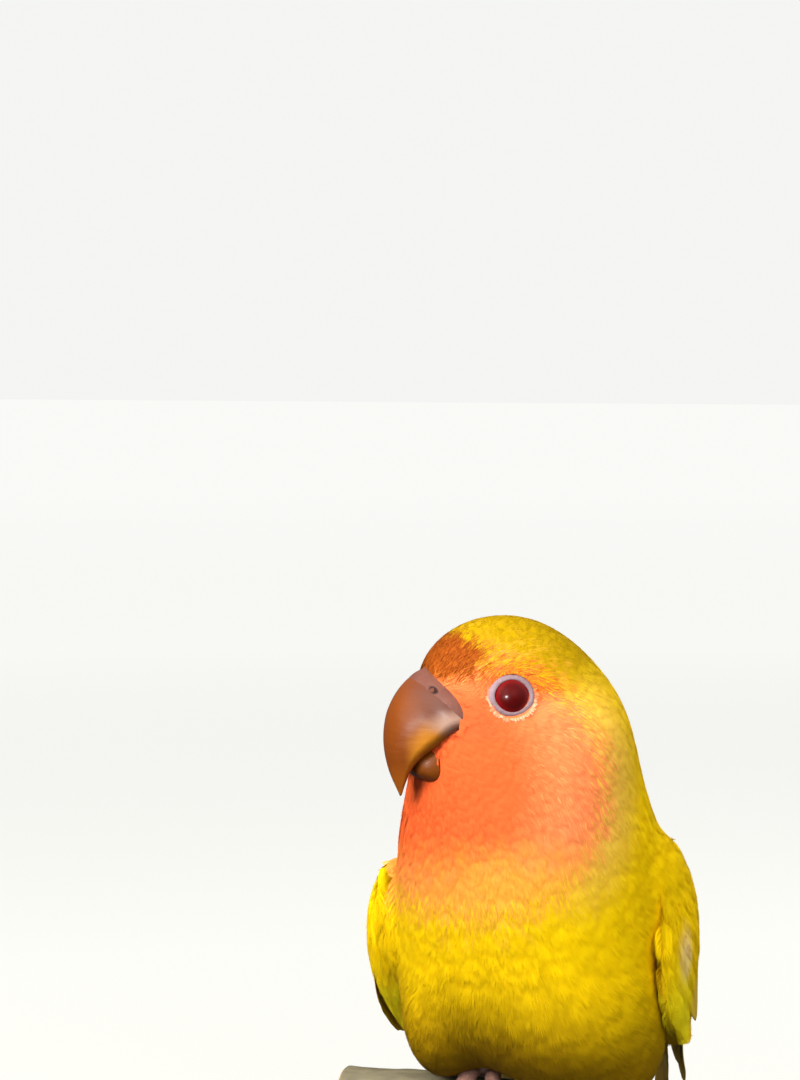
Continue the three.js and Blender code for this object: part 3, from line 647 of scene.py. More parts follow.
def fromEyes(points):
    # how far a place lies from the nearer eye's axis, and the way out from that axis; far is past both
    far = 99.0
    best, out = np.full(len(points), far), np.zeros((len(points), 3))
    for side in eyes.values():
        middle, look = eyeFrame(side)
        offset = points - middle
        height = offset @ look
        radial = offset - height[:, None] * look
        distance = np.where(height > 0, np.linalg.norm(radial, axis=1), far)
        closer = distance < best
        best[closer], out[closer] = distance[closer], unit(radial)[closer]
    return best, out


# Coat: small feathers root evenly over the skin and lie back from the bill and down the body.
# Each is a fan of fine barbs along its shaft. Sizes go from the face to the body.
coat = dict(length=(3.2, 10), width=(0.6, 1.9), spacing=(0.62, 1.62), barbs=42, barbWidth=(0.11, 0.23),
            stations=6, lift=(0.15, 0.95), pieces=10, facePieces=4, patch=0.003, curve=19, vault=0.07,
            source=(13.5, 0, -1.5), backOver=(15, 34), backward=0.35, roundEyes=(4.2, 7.5), rootGap=0.1,
            overRing=0.25, coverSoftness=1.2, coverTrim=0.3, hidden=-0.5)
surfaceStep = 0.004
# the shoulders of both wings and the tail's root, which the body's feathers run over
covered = [bodyForm((19.6, 8.6, 30), (5.2, 12, 9.5), 42), bodyForm((-22.6, 2.1, 24.5), (5.2, 12, 9.5), 42),
           bodyForm((0, 44.5, -7), (8.6, 17, 4.6), 46)]


def coverGap(points):
    # the skin and what else the feathers cover, run together softly
    gaps = [skinGap(points)] + [formGap(points, form) + coat["coverTrim"] for form in covered]
    return runTogether(gaps, coat["coverSoftness"])


def lieOf(points, normals):
    # away from the bill over the head, then down the spine towards the tail, and round the eyes
    fromSource = points - inHead(coat["source"])
    distance = np.linalg.norm(fromSource, axis=1, keepdims=True)
    trial = np.linspace(0, 1, 161)
    middle, along = curveAt(spine, trial)
    nearest = ((points[:, None] - middle) ** 2).sum(-1).argmin(1)
    down = -along[nearest] + [0, coat["backward"], 0]
    lie = mix(unit(fromSource), down, smooth(distance, *coat["backOver"]))
    lie = unit(lie - dot(lie, normals) * normals)
    reach, out = fromEyes(points)
    towards = np.minimum(dot(lie, out), 0)
    lie = lie - towards * out * (1 - smooth(reach, *coat["roundEyes"]))[:, None]
    return unit(lie - dot(lie, normals) * normals)


def settle(points, height):
    # moves places along the normal until they stand at a height above what the feathers cover
    normals = outward(points, coverGap)
    return points + normals * (height - coverGap(points))[:, None], normals


def rootPlaces():
    # spreads roots evenly: cells of the skin's grid are drawn in step with their area over the local
    # spacing squared, by a low-discrepancy sequence in steps of one over the plastic number
    grid = skinGridPoints
    a, b = grid[1:, :-1] - grid[:-1, :-1], grid[:-1, 1:] - grid[:-1, :-1]
    area = np.linalg.norm(np.cross(a, b), axis=-1)
    middle = (grid[1:, 1:] + grid[:-1, :-1]) / 2
    gap = mix(*coat["spacing"], coatScale(middle.reshape(-1, 3))).reshape(area.shape)
    weight = area / gap**2 + 1e-9
    count = int(weight.sum())
    step = np.arange(count)
    plastic = 1.32471795724
    first, second = (0.5 + step / plastic) % 1, (0.5 + step / plastic**2) % 1
    rows = np.r_[0, np.cumsum(weight.sum(1))] / weight.sum()
    place = np.interp(first, rows, np.arange(len(rows)))
    row = np.minimum(place.astype(int), area.shape[0] - 1)
    cells = np.concatenate([np.zeros((area.shape[0], 1)), np.cumsum(weight, 1)], 1)
    cells = cells / cells[:, -1:] + np.arange(area.shape[0])[:, None]
    flat = np.interp(second + row, cells.ravel(), np.arange(cells.size))
    column = flat - row * cells.shape[1]
    coords = np.stack([column / area.shape[1], place / area.shape[0]], -1)
    share = np.interp(place, np.arange(len(grid)), skinShare[:, 0])
    turn = column / area.shape[1] * 2 * np.pi
    return skinPoints(share, turn), coords


def skinShafts(roots, length, lift):
    # each shaft steps from its root along the lie and settles at its height above the skin
    stations = [settle(roots, lift[0] * coatDepth(roots))]
    sides = []
    for step in range(1, coat["stations"]):
        points, normals = stations[-1]
        lie = lieOf(points, normals)
        sides.append(np.cross(lie, normals))
        rise = mix(lift[0], 1.0, (step / (coat["stations"] - 1)) ** 0.7)
        height = coatDepth(points) * mix(lift[0], lift[1], rise)
        stride = (length / (coat["stations"] - 1))[:, None]
        stations.append(settle(points + lie * stride, height))
    points, normals = stations[-1]
    sides.append(np.cross(lieOf(points, normals), normals))
    return [np.stack(part, 1) for part in ([s[0] for s in stations], [s[1] for s in stations], sides)]


def slopesOf(surface, share, turn):
    # how a surface's points move from one step before to one step after, for each of its two parameters
    along = surface(share + surfaceStep, turn) - surface(share - surfaceStep, turn)
    around = surface(share, turn + surfaceStep) - surface(share, turn - surfaceStep)
    return along, around


def surfaceFrame(surface, share, turn):
    # a surface's point, the direction of its first parameter and its normal away from its axis
    point = surface(share, turn)
    along, around = slopesOf(surface, share, turn)
    normal = unit(np.cross(unit(along), around))
    axis = np.mean([surface(share, turn + part) for part in np.arange(8) * np.pi / 4], 0)
    return point, unit(along), normal * np.sign(dot(normal, point - axis))


def surfaceShafts(surface, share, turn, length, rise):
    # shafts over a surface run along its first parameter and rise off it from root to tip
    pace = np.linalg.norm(slopesOf(surface, share, turn)[0], axis=-1) / (2 * surfaceStep)
    points, normals, sides = [], [], []
    for part in np.linspace(0, 1, coat["stations"]):
        point, along, normal = surfaceFrame(surface, np.minimum(share + length * part / pace, 0.99), turn)
        points.append(point + normal * mix(*rise, part**0.7))
        normals.append(normal)
        sides.append(np.cross(along, normal))
    return [np.stack(part, 1) for part in (points, normals, sides)]


def spreadOver(surface, shares, turns, spacing):
    # evenly spread roots: candidates from a low-discrepancy sequence are kept by the area they stand for;
    # it steps by powers of one over the root of x^4 = x + 1
    root = 1.2207440846

    def area(share, turn):
        return np.linalg.norm(np.cross(*slopesOf(surface, share, turn)), axis=-1) / (4 * surfaceStep**2)

    trial = np.meshgrid(np.linspace(*shares, 25), np.linspace(*turns, 25))
    most = area(*trial).max()
    count = int(most * (shares[1] - shares[0]) * (turns[1] - turns[0]) / spacing**2)
    places = (0.5 + np.arange(count)[:, None] / root ** np.array([1, 2, 3])) % 1
    share, turn = mix(*shares, places[:, 0]), mix(*turns, places[:, 1])
    kept = places[:, 2] * most < area(share, turn)
    return share[kept], turn[kept]


def barbShapes(count):
    # barbs leave the shaft in turn on both sides and bend towards the tip; the last ones make the
    # rounded end: each has its start, bend and end as places along the shaft and across the feather
    order = np.linspace(0, 1, count)
    side = np.where(np.arange(count) % 2, 1.0, -1.0)
    reach = np.sqrt(np.clip(1 - order**2.2, 0, 1))
    start = np.stack([0.62 * order, 0 * order], -1)
    end = np.stack([0.42 + 0.58 * order**0.8, side * reach], -1)
    bend = np.stack([mix(start[:, 0], end[:, 0], 0.42), side * reach * 0.72], -1)
    return np.stack([start, bend, end], 1)


def shaftPlace(stations, along):
    # values between a shaft's stations: stations is feathers x stations x 3, along feathers x places
    place = np.clip(along, 0, 1) * (stations.shape[1] - 1)
    first = np.minimum(place.astype(int), stations.shape[1] - 2)
    part = (place - first)[..., None]
    before, after = (np.take_along_axis(stations, index[..., None], 1) for index in (first, first + 1))
    return mix(before, after, part)


def makeFeathers(name, shafts, coords, material, looks, scale, tone=0.0):
    # turns feathers into ribbons of three triangles for each barb, shaded as the feather's soft vault
    points, normals, sides = shafts
    number, barbs = len(points), looks["barbs"]
    width = mix(*looks["width"], scale) * random.uniform(0.85, 1.15, number)
    shape = barbShapes(barbs)[None] + random.normal(0, 1, (number, barbs, 3, 2)) * [0.012, 0.03]
    shape[..., 0, 1] *= 0.3
    along = shape[..., 0].reshape(number, -1)
    across = (shape[..., 1].reshape(number, -1) * width[:, None])[..., None]
    lift = random.normal(0, 0.02, (number, barbs, 1)) * np.array([0.3, 1, 1.6])
    height = lift.reshape(number, -1) - 0.1 * np.abs(shape[..., 1]).reshape(number, -1) ** 2
    sideways, upwards = shaftPlace(sides, along), shaftPlace(normals, along)
    centre = shaftPlace(points, along) + sideways * across
    bulge = across**2 / 2 / coat["curve"]
    centre = centre + upwards * (height[..., None] * coatDepth(centre)[..., None] - bulge)
    centre, upwards, sideways = (part.reshape(number, barbs, 3, 3) for part in (centre, upwards, sideways))
    run = unit(np.gradient(centre, axis=2))
    breadth = unit(np.cross(run, upwards))
    breadth = unit(breadth + upwards * random.normal(0, 0.06, (number, barbs, 1, 1)))
    half = np.broadcast_to(mix(*looks["barbWidth"], scale), (number,))[:, None, None, None] / 2
    half = half * np.array([1, 0.85, 0])[:, None]
    left, right = centre - breadth * half, centre + breadth * half
    verts = np.stack([left[:, :, 0], right[:, :, 0], left[:, :, 1], right[:, :, 1], centre[:, :, 2]], 2)
    verts = keepClear(verts.reshape(-1, 3))
    base = np.arange(number * barbs)[:, None] * 5
    faces = (base[:, :, None] + np.array([[0, 1, 3], [0, 3, 2], [2, 3, 4]])).reshape(-1, 3)
    vault = upwards + sideways * coat["vault"] * shape[..., 1:]
    vault = vault + random.normal(0, 0.02, (number, barbs, 1, 3))
    vault = unit(vault)[:, :, [0, 0, 1, 1, 2]].reshape(-1, 3)
    own = np.repeat(random.uniform(0, 1, (number, barbs, 1)), 5, 2)
    feather = np.broadcast_to(random.uniform(0, 1, (number, 1, 1)), own.shape)
    part = shape[:, :, [0, 0, 1, 1, 2], 0]
    tone = np.broadcast_to(np.reshape(tone, (-1, 1, 1)), own.shape)
    strand = np.stack([own, np.clip(part, 0, 1), feather, tone], -1).reshape(-1, 4)
    spot = shape[:, :, [0, 0, 1, 1, 2]].reshape(number, -1, 2)[..., ::-1]
    spot = (spot * [0.5, 1] - [0, 0.5]) * coat["patch"] + coords[:, None]
    piece = putMesh(name, verts, faces, material, weld=0, shading=vault,
                    maps=dict(OFBake=np.clip(spot.reshape(-1, 2), 0, 1)), colours=dict(strand=strand))
    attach(piece, "root")
    return piece


def keepClear(points):
    # pushes what would cross an eye's ring out to the ring's edge
    reach, out = fromEyes(points)
    short = np.maximum(head["ringOuter"] - coat["overRing"] - reach, 0)
    return points + out * short[:, None]


def makeCoat():
    roots, coords = rootPlaces()
    reach, _ = fromEyes(roots)
    hidden = np.min([formGap(roots, form) for form in covered], 0) < coat["hidden"]
    clear = (reach > head["ringOuter"] - coat["rootGap"]) & clearOfBill(roots) & ~hidden
    roots, coords = roots[clear], coords[clear]
    order = np.argsort(-roots[:, 2], kind="stable")
    for index, part in enumerate(np.array_split(order, coat["pieces"])):
        scale = coatScale(roots[part])
        length = mix(*coat["length"], scale) * random.uniform(0.85, 1.15, len(part))
        shafts = skinShafts(roots[part], length, coat["lift"])
        makeFeathers(f"coat_{index + 1}", shafts, coords[part], bodyFeathers, coat, scale)
    print(len(roots), "small feathers lie over the skin")


makeCoat()


def cell(coords, index, count):
    # a square of its own in the unit square for each of several parts
    side = int(np.ceil(np.sqrt(count)))
    return (coords * 0.94 + 0.03 + [index % side, index // side]) / side


def putParts(name, grids, material, replaced=(), extra=None, outwards=True):
    # joins grids of points into one piece, each with its own square on the bake map
    points, faces, coords, start = [], [], [], 0
    for index, grid in enumerate(grids):
        rows, columns = grid.shape[:2]
        points.append(grid.reshape(-1, 3))
        faces.append(gridFaces(rows, columns, start))
        coords.append(cell(gridCoords(rows, columns), index, len(grids)))
        start += rows * columns
    maps = dict(OFBake=np.concatenate(coords))
    if extra is not None:
        maps["surface"] = np.concatenate([part.reshape(-1, 2) for part in extra])
    piece = putMesh(name, np.concatenate(points), np.concatenate(faces), material, maps=maps,
                    outwards=outwards)
    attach(piece, "root")
    if replaced:
        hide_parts(*replaced)
    return piece


# Bill: keratin horn over bone, polished by use; dusky pink at its base, ochre towards its tip
horn = dict(base="#5e382e", middle="#74380a", tip="#96500e", pale="#a98a7c", jaw="#6a3504", edge="#b8761c",
            dusky=((14.4, 0, 1.4), (7, bothSides, 7)), point=((21, 0, -15), (6, bothSides, 6)),
            cuttingEdge=((17, 0, -6.6), (3.8, bothSides, 4.6)), gape=((14.8, 0, -2.2), (3.6, bothSides, 2.4)),
            grain=260, layers=420)


def makeHorn(name, base, middle, tip, edged):
    material, tree, shader = newMaterial(name, Roughness=0.42, Specular_IOR_Level=0.25, Coat_Weight=0.05,
                                         Coat_Roughness=0.25)
    coords = objectCoords(tree)
    clouds = scaled(tree, noiseOf(tree, coords, horn["grain"], 4.0), 0.5, -0.25)
    upper = zone(tree, coords, *horn["dusky"], 0.3, 1.15, clouds)
    point = zone(tree, coords, *horn["point"], 0.3, 1.2, clouds)
    colour = mixColour(tree, upper, middle, base)
    colour = mixColour(tree, point, colour, tip)
    cuttingEdge = zone(tree, coords, *horn["cuttingEdge"], 0.5, 1.3, clouds)
    colour = mixColour(tree, scaled(tree, cuttingEdge, edged), colour, horn["edge"])
    gape = zone(tree, coords, *horn["gape"], 0.3, 1.2, clouds)
    colour = mixColour(tree, scaled(tree, gape, edged), colour, horn["pale"])
    tree.links.new(colour, shader.inputs["Base Color"])
    layers = noiseOf(tree, coords, horn["layers"], 3.0, (1, 1, 3))
    bumpOf(tree, shader, layers, 0.12, 0.5)
    return material


billHorn = makeHorn("polished bill horn", horn["base"], horn["middle"], horn["tip"], 0.8)
jawHorn = makeHorn("lower bill horn", horn["jaw"], horn["jaw"], horn["jaw"], 0.0)


def makeBill():
    upper = ringLoft(upperBillPoints, 64, 49)
    putParts("upper_bill", [upper], billHorn, ["beak_upper"])
    lower = ringLoft(lowerBillPoints, 40, 41)
    putParts("lower_bill", [lower], jawHorn, ["beak_lower"])


makeBill()


# Bare skin: the cere over the nostrils and the rings round the eyes, matt and finely wrinkled
bare = dict(cere="#74493e", cereShade="#613930", nostril="#2a1512", ring="#96808a", ringShade="#776067",
            clouds=420, wrinkle=1900)
cereShape = dict(front=(18.9, 4.2), slant=44, swell=0.3, sink=0.04, nostril=(16.95, 4.75, 3.05),
                 nostrilRadius=0.55, nostrilDepth=0.16, rim=0.12, rimPlace=1.5, rimWidth=0.4)


def makeBareSkin(name, colour, shade):
    material, tree, shader = newMaterial(name, Roughness=0.55, Specular_IOR_Level=0.4)
    coords = objectCoords(tree)
    clouds = noiseOf(tree, coords, bare["clouds"], 4.0)
    base = mixColour(tree, scaled(tree, clouds, 1.6, -0.4), shade, colour)
    forward, _, up = cereShape["nostril"]
    size = cereShape["nostrilRadius"]
    hole = zone(tree, coords, (forward, 0, up), (size, bothSides, size), 0.7, 1.4)
    tree.links.new(mixColour(tree, hole, base, bare["nostril"]), shader.inputs["Base Color"])
    wrinkles = addNode(tree, "ShaderNodeTexVoronoi", {"Vector": coords, "Scale": bare["wrinkle"]},
                       feature="F1")
    bumpOf(tree, shader, wrinkles.outputs["Distance"], 0.08, 0.6)
    return material


def cerePoints(share, turn):
    # the bill's base behind a slanting line, swollen a little, with a dent for each nostril
    trial = np.linspace(0, 0.6, 121)[:, None] + 0 * turn[:1]
    places = toHead(upperBillPoints(trial, turn[:1] + 0 * trial))
    slant = np.radians(cereShape["slant"])
    forward, up = cereShape["front"]
    past = (places[..., 0] - forward) * np.cos(slant) - (places[..., 2] - up) * np.sin(slant)
    after = np.maximum(np.argmax(past > 0, 0), 1)
    short, over = (np.take_along_axis(past, row[None], 0)[0] for row in (after - 1, after))
    border = mix(trial[after - 1, 0], trial[after, 0], np.clip(-short / (over - short), 0, 1))
    along = share * border
    points = upperBillPoints(along, turn)
    middle = (inHead(profileAt(bill["tomium"], along)) + inHead(profileAt(bill["culmen"], along))) / 2
    away = unit(points - middle)
    swell = cereShape["swell"] * (1 - share**4) - cereShape["sink"]
    for side in eyes.values():
        forward, left, up = cereShape["nostril"]
        hole = inHead((forward, side * left, up))
        gap = np.linalg.norm(points - hole, axis=-1) / cereShape["nostrilRadius"]
        fromRim = (gap - cereShape["rimPlace"]) / cereShape["rimWidth"]
        rim = cereShape["rim"] * np.exp(-(fromRim**2))
        swell = swell - cereShape["nostrilDepth"] * np.exp(-(gap**4)) + rim
    return points + away * swell[..., None]


def makeCere():
    skinOfCere = makeBareSkin("bare cere skin", bare["cere"], bare["cereShade"])
    putParts("cere_skin", [ringLoft(cerePoints, 56, 121)], skinOfCere, ["cere"])


makeCere()


# Eyes: a wet cornea over a dark red iris, set in a raised ring of bare skin
eyeLooks = dict(pupil="#4a0304", iris="#7d0708", rim="#3a0304", pupilSize=0.2, irisSize=0.44, bulge=0.3,
                swell=0.05, ringMiddle=3.25, ringHalf=0.6, ringFlat=0.08)
lashLooks = dict(number=120, start=3.45, length=0.75, height=(1.0, 1.35), width=(0.16, 0.16), barbs=8,
                 barbWidth=(0.08, 0.08))


def lookAxes(look):
    side = unit(np.cross(look, [0, 0, 1.0]))
    return side, np.cross(look, side)


def makeIris():
    # rings of colour by the distance from the middle, with faint spokes
    material, tree, shader = newMaterial("wet eye", Roughness=0.3, Coat_Weight=0.7, Coat_Roughness=0.03,
                                         Coat_IOR=1.34, Specular_IOR_Level=0.2)
    place = addNode(tree, "ShaderNodeUVMap", uv_map="surface").outputs[0]
    parts = addNode(tree, "ShaderNodeSeparateXYZ", {0: place}).outputs
    spokes = addNode(tree, "ShaderNodeTexNoise", {"Vector": place, "Scale": 26.0, "Detail": 3.0}).outputs[0]
    waver = scaled(tree, spokes, 0.05, -0.025)
    out = mathOf(tree, "ADD", parts[1], waver)
    opening = rampOf(tree, out, eyeLooks["pupilSize"] - 0.03, eyeLooks["pupilSize"] + 0.08)
    edge = rampOf(tree, out, eyeLooks["irisSize"] - 0.05, eyeLooks["irisSize"] + 0.05)
    colour = mixColour(tree, opening, eyeLooks["pupil"], eyeLooks["iris"])
    tree.links.new(mixColour(tree, edge, colour, eyeLooks["rim"]), shader.inputs["Base Color"])
    return material


wetEye = makeIris()
ringSkin = makeBareSkin("bare eye ring", bare["ring"], bare["ringShade"])


def makeEye(name, side):
    middle, look = eyeFrame(side)
    across, up = lookAxes(look)

    def ball(share, turn):
        # a sphere with its pole where the eye looks, bulging there
        bulge = eyeLooks["bulge"] * np.exp(-((share * np.pi / 0.5) ** 2))
        radius = head["eyeRadius"] + eyeLooks["swell"] + bulge
        tilt = share * np.pi
        flat = across * np.cos(turn)[..., None] + up * np.sin(turn)[..., None]
        return middle + (look * np.cos(tilt)[..., None] + flat * np.sin(tilt)[..., None]) * radius[..., None]

    grid = ringLoft(ball, 60, 65)
    coords = gridCoords(*grid.shape[:2]).reshape(*grid.shape[:2], 2)
    putParts(f"eyeball_{name}", [grid], wetEye, [f"eye_{name}"], extra=[coords])

    def ring(share, turn):
        # a flat oval band, thinner above and below; its edge wavers and is drawn to a corner fore and aft
        angle = share * 2 * np.pi
        steep = np.sin(angle) ** 2
        waver = 0.02 * np.sin(angle * 23) + 0.015 * np.sin(angle * 37 + 1)
        corner = 0.12 * np.abs(np.cos(angle)) ** 8
        radius = eyeLooks["ringMiddle"] * (1 - eyeLooks["ringFlat"] * steep) + corner
        flat = across * np.cos(angle)[..., None] + up * np.sin(angle)[..., None]
        half = eyeLooks["ringHalf"] * (1 - 0.25 * steep)
        out = radius + (half + waver * (np.cos(turn) > 0)) * np.cos(turn)
        rise = 2.35 - 0.22 * np.cos(turn) + 0.34 * np.sin(turn) * (1 + 0.4 * waver)
        return middle + flat * out[..., None] + look * rise[..., None]

    share = np.linspace(0, 1, 145)[:, None] + np.zeros(17)
    turn = np.zeros((145, 1)) + np.linspace(0, 2 * np.pi, 17)
    putParts(f"eye_ring_{name}", [ring(share, turn)], ringSkin)


def makeLashes(name, side):
    # short pale feathers stand out from under the ring's edge
    middle, look = eyeFrame(side)
    across, up = lookAxes(look)
    angle = np.linspace(0, 2 * np.pi, lashLooks["number"], endpoint=False)[:, None]
    out = across * np.cos(angle) + up * np.sin(angle)
    length = lashLooks["length"] * random.uniform(0.5, 1.3, (lashLooks["number"], 1))
    stations = []
    for part in np.linspace(0, 1, coat["stations"]):
        place = middle + look * 2.2 + out * (lashLooks["start"] + length * part)
        stations.append(settle(place, mix(*lashLooks["height"], part) * coatDepth(place)))
    points, normals = (np.stack(part, 1) for part in zip(*stations))
    sides = unit(np.cross(out[:, None], normals))
    coords = np.stack([angle[:, 0] / (2 * np.pi), 0.5 + 0 * angle[:, 0]], -1) * 0.99
    makeFeathers(f"lashes_{name}", (points, normals, sides), coords, bodyFeathers, lashLooks,
                 0.0, random.uniform(0.1, 0.9, len(out)) * smooth(-out[:, 2], -0.6, 0.4))


for name, side in eyes.items():
    makeEye(name, side)
    makeLashes(name, side)
print("bill, cere and eyes are made")


# Flight feathers and their coverts: each vane has a shaft, a slight arch and barbs that split here and there
vaneLooks = dict(thickness=0.14, shaft=0.08, barbSpacing=0.3, barbSlant=1.1, notchDepth=0.16)
wing = dict(
    line=[(22, 1, 37.5), (24.8, 7, 31.8), (25.6, 14.5, 25), (22, 26, 15), (16.2, 40, 2.5), (12.2, 55, -11),
          (8, 70, -24)],
    reach=95, roll=(-8, 46), curl=(24, 36), bend=0.35,
    shift=dict(left=((0, 0, 0), (0, 0, 0)), right=((3, -6.5, -5.5), (3.2, -6.5, 1))))
# each pair belongs to a tier's lowest feather and its highest, as in the source
wingTiers = dict(
    primaries=dict(count=9, half=2.9, tilt=0.1, rows=34, root=(28, 36), rootAcross=(-5, 3), end=(95, 70),
                   endAcross=(-1.2, 3), rootDepth=(5.2, 3.4), midDepth=(5.0, 2.2), endDepth=(4.6, 1.6)),
    secondaries=dict(count=9, half=3.5, tilt=0.17, rows=26, root=(28, 20), rootAcross=(-5, 13), end=(66, 46),
                     endAcross=(-4.6, 14.5), rootDepth=(3.0, 3.0), midDepth=(1.9, 1.9), endDepth=(1.8, 1.8)),
    greaterCoverts=dict(count=9, half=3.1, tilt=0.14, rows=20, root=(21, 14), rootAcross=(-6.5, 10),
                        end=(50, 36), endAcross=(-6.2, 12), rootDepth=(2.4, 2.4), midDepth=(1.0, 1.0),
                        endDepth=(0.9, 0.9)),
    medianCoverts=dict(count=9, half=3.0, tilt=0.12, rows=18, root=(13, 8), rootAcross=(-7.5, 10),
                       end=(37, 26), endAcross=(-7.4, 12.5), rootDepth=(1.6, 1.6), midDepth=(0.2, 0.2),
                       endDepth=(0.1, 0.1)))


def wingPoint(name, s, w, d):
    # s along the wing from the shoulder, w across it towards the back, d in from its outer face
    s, w, d = np.broadcast_arrays(s, w, d)
    u = np.clip(s / wing["reach"], 0, 1)
    middle, along = evenCurve(wing["line"], u)
    upright = unit(np.cross([1.0, 0, 0], along))
    sideways = np.cross(along, upright)
    roll = np.radians(mix(*wing["roll"], np.minimum(u * 1.6, 1)))[..., None]
    out = sideways * np.cos(roll) + upright * np.sin(roll)
    across = upright * np.cos(roll) - sideways * np.sin(roll)
    curl = mix(*wing["curl"], u)
    turn = w / curl
    rise, reach = (curl - d) * np.cos(turn) - curl, (curl - d) * np.sin(turn)
    places = middle + out * rise[..., None] + across * reach[..., None]
    arm, tip = np.array(wing["shift"][name], float)
    return (places + mix(arm, tip, smooth(u, wing["bend"], 1)[..., None])) * [eyes[name], 1, 1]


def vaneGrid(place, half, rows, columns=9):
    # a ring of points at each step along the feather goes over its upper face and back under it
    u = 1 - (1 - np.linspace(0, 1, rows)) ** 1.35
    closing = np.clip((u - 0.62) / 0.38, 0, 1) ** 2.6
    width = half * np.minimum(1, 0.3 + 1.9 * u) * np.sqrt(np.clip(1 - closing, 0.0004, 1))
    edge = np.ones((2, rows))
    for side in edge:
        for spot in random.uniform(0.35, 0.97, 3):
            depth = random.uniform(0.04, vaneLooks["notchDepth"])
            side -= depth * np.exp(-(((u - spot) / random.uniform(0.012, 0.03)) ** 2))
        side *= 1 + random.normal(0, 0.012, rows)
    over = np.linspace(-1, 1, columns)
    over = np.r_[over, over[::-1], over[0]]
    across = over * width[:, None] * np.where(over < 0, edge[0][:, None], edge[1][:, None])
    below = np.r_[np.zeros(columns), np.ones(columns), 0]
    taper = (0.35 + 0.65 * np.abs(1 - np.abs(over)) ** 0.5) * (1 - 0.6 * u[:, None])
    shaft = vaneLooks["shaft"] * (1 - 0.8 * u[:, None]) * np.exp(-((over / 0.16) ** 2))
    depth = vaneLooks["thickness"] * taper * below - shaft * (1 - 2 * below)
    points = place(u[:, None] + 0 * across, across, depth)
    start, end = (row.mean(1, keepdims=True) + 0 * row for row in (points[:1], points[-1:]))
    return np.concatenate([start, points, end]), stretchRows(u, across)


def stretchRows(u, across):
    # places along and across the vane for its barbs, with the end rows doubled as the grid's are
    places = np.stack([across, u[:, None] + 0 * across], -1)
    return np.concatenate([places[:1], places, places[-1:]])


def tierVanes(name, tier):
    grids, spots = [], []
    for i in range(tier["count"]):
        part = i / (tier["count"] - 1)
        jitter = random.normal(0, 1, 3)

        def at(key):
            return mix(*tier[key], part)

        def place(u, across, depth):
            s = mix(at("root"), at("end") + 0.5 * jitter[0], u)
            w = mix(at("rootAcross"), at("endAcross") + 0.3 * jitter[1], u) + across
            rise = mix(at("rootDepth"), at("midDepth"), np.minimum(2 * u, 1))
            level = mix(0, at("endDepth") - at("midDepth") + 0.12 * jitter[2], np.maximum(2 * u - 1, 0))
            arch = 0.05 * across**2 / tier["half"]
            return wingPoint(name, s, w, rise + level + depth + arch - across * tier["tilt"])

        grid, spot = vaneGrid(place, tier["half"], tier["rows"])
        length = at("end") - at("root")
        grids.append(grid)
        spots.append(spot * [1, length])
    return grids, spots


feathers = dict(vane="#e6c004", vaneDeep="#cda508", edge="#f2d410", pale="#dccb80", shaft="#dcc04a",
                shade="#bfa54a", flightEdge="#dcbc12")


def makeVaneMaterial(name, colour, deep, edgeColour):
    # barbs run slantwise from the shaft: fine ridges that follow the vane's own map
    material, tree, shader = newMaterial(name, Roughness=0.65, Specular_IOR_Level=0.12, Sheen_Weight=0.05,
                                         Sheen_Roughness=0.4)
    place = addNode(tree, "ShaderNodeUVMap", uv_map="surface").outputs[0]
    parts = addNode(tree, "ShaderNodeSeparateXYZ", {0: place}).outputs
    out = mathOf(tree, "ABSOLUTE", parts[0])
    slant = scaled(tree, out, -vaneLooks["barbSlant"], parts[1])
    turns = scaled(tree, slant, 2 * np.pi / vaneLooks["barbSpacing"])
    ridge = mathOf(tree, "SINE", scaled(tree, noiseOf(tree, place, 1.4, 2.0), 5.0, turns))
    clouds = noiseOf(tree, objectCoords(tree), 130)
    base = mixColour(tree, scaled(tree, clouds, 1.4, -0.3), deep, colour)
    rim = rampOf(tree, out, 1.2, 2.9)
    base = mixColour(tree, scaled(tree, rim, 0.7), base, edgeColour)
    quill = rampOf(tree, out, 0.3, 0.12)
    base = mixColour(tree, scaled(tree, quill, 0.6), base, feathers["shaft"])
    streaked = darkened(tree, base, scaled(tree, ridge, 0.05, 0.95))
    tree.links.new(streaked, shader.inputs["Base Color"])
    bumpOf(tree, shader, ridge, 0.03, 0.7)
    return material


covertVanes = makeVaneMaterial("yellow covert vanes", feathers["vane"], feathers["vaneDeep"],
                               feathers["edge"])
flightVanes = makeVaneMaterial("pale flight vanes", feathers["pale"], feathers["shade"],
                               feathers["flightEdge"])


# the arm under its small feathers: each list runs from the shoulder on
# the nearer wing is held a little open, its leading edge drawn out and lifted clear of the breast
arm = dict(reach=56, middle=(2.5, 2.2, 1.6, 1.2, 0.6, -0.6, -1.8, -2.6),
           half=(1, 9.3, 12, 12.8, 12.2, 8.6, 3.6, 0.5), top=(0.6, 0.3, 0.3, 0.5, 1.0, 1.3, 1.5, 1.8),
           thickness=(1.2, 8.5, 11, 12.5, 12, 10, 7, 1), held=dict(left=1.0, right=0.0),
           drawn=(0, 4.6, 6.4, 5.6, 3.6, 0.4, 0, 0), lifted=(0.3, 2.8, 2.9, 1.6, 0.4, 0, 0, 0), thin=0.85)


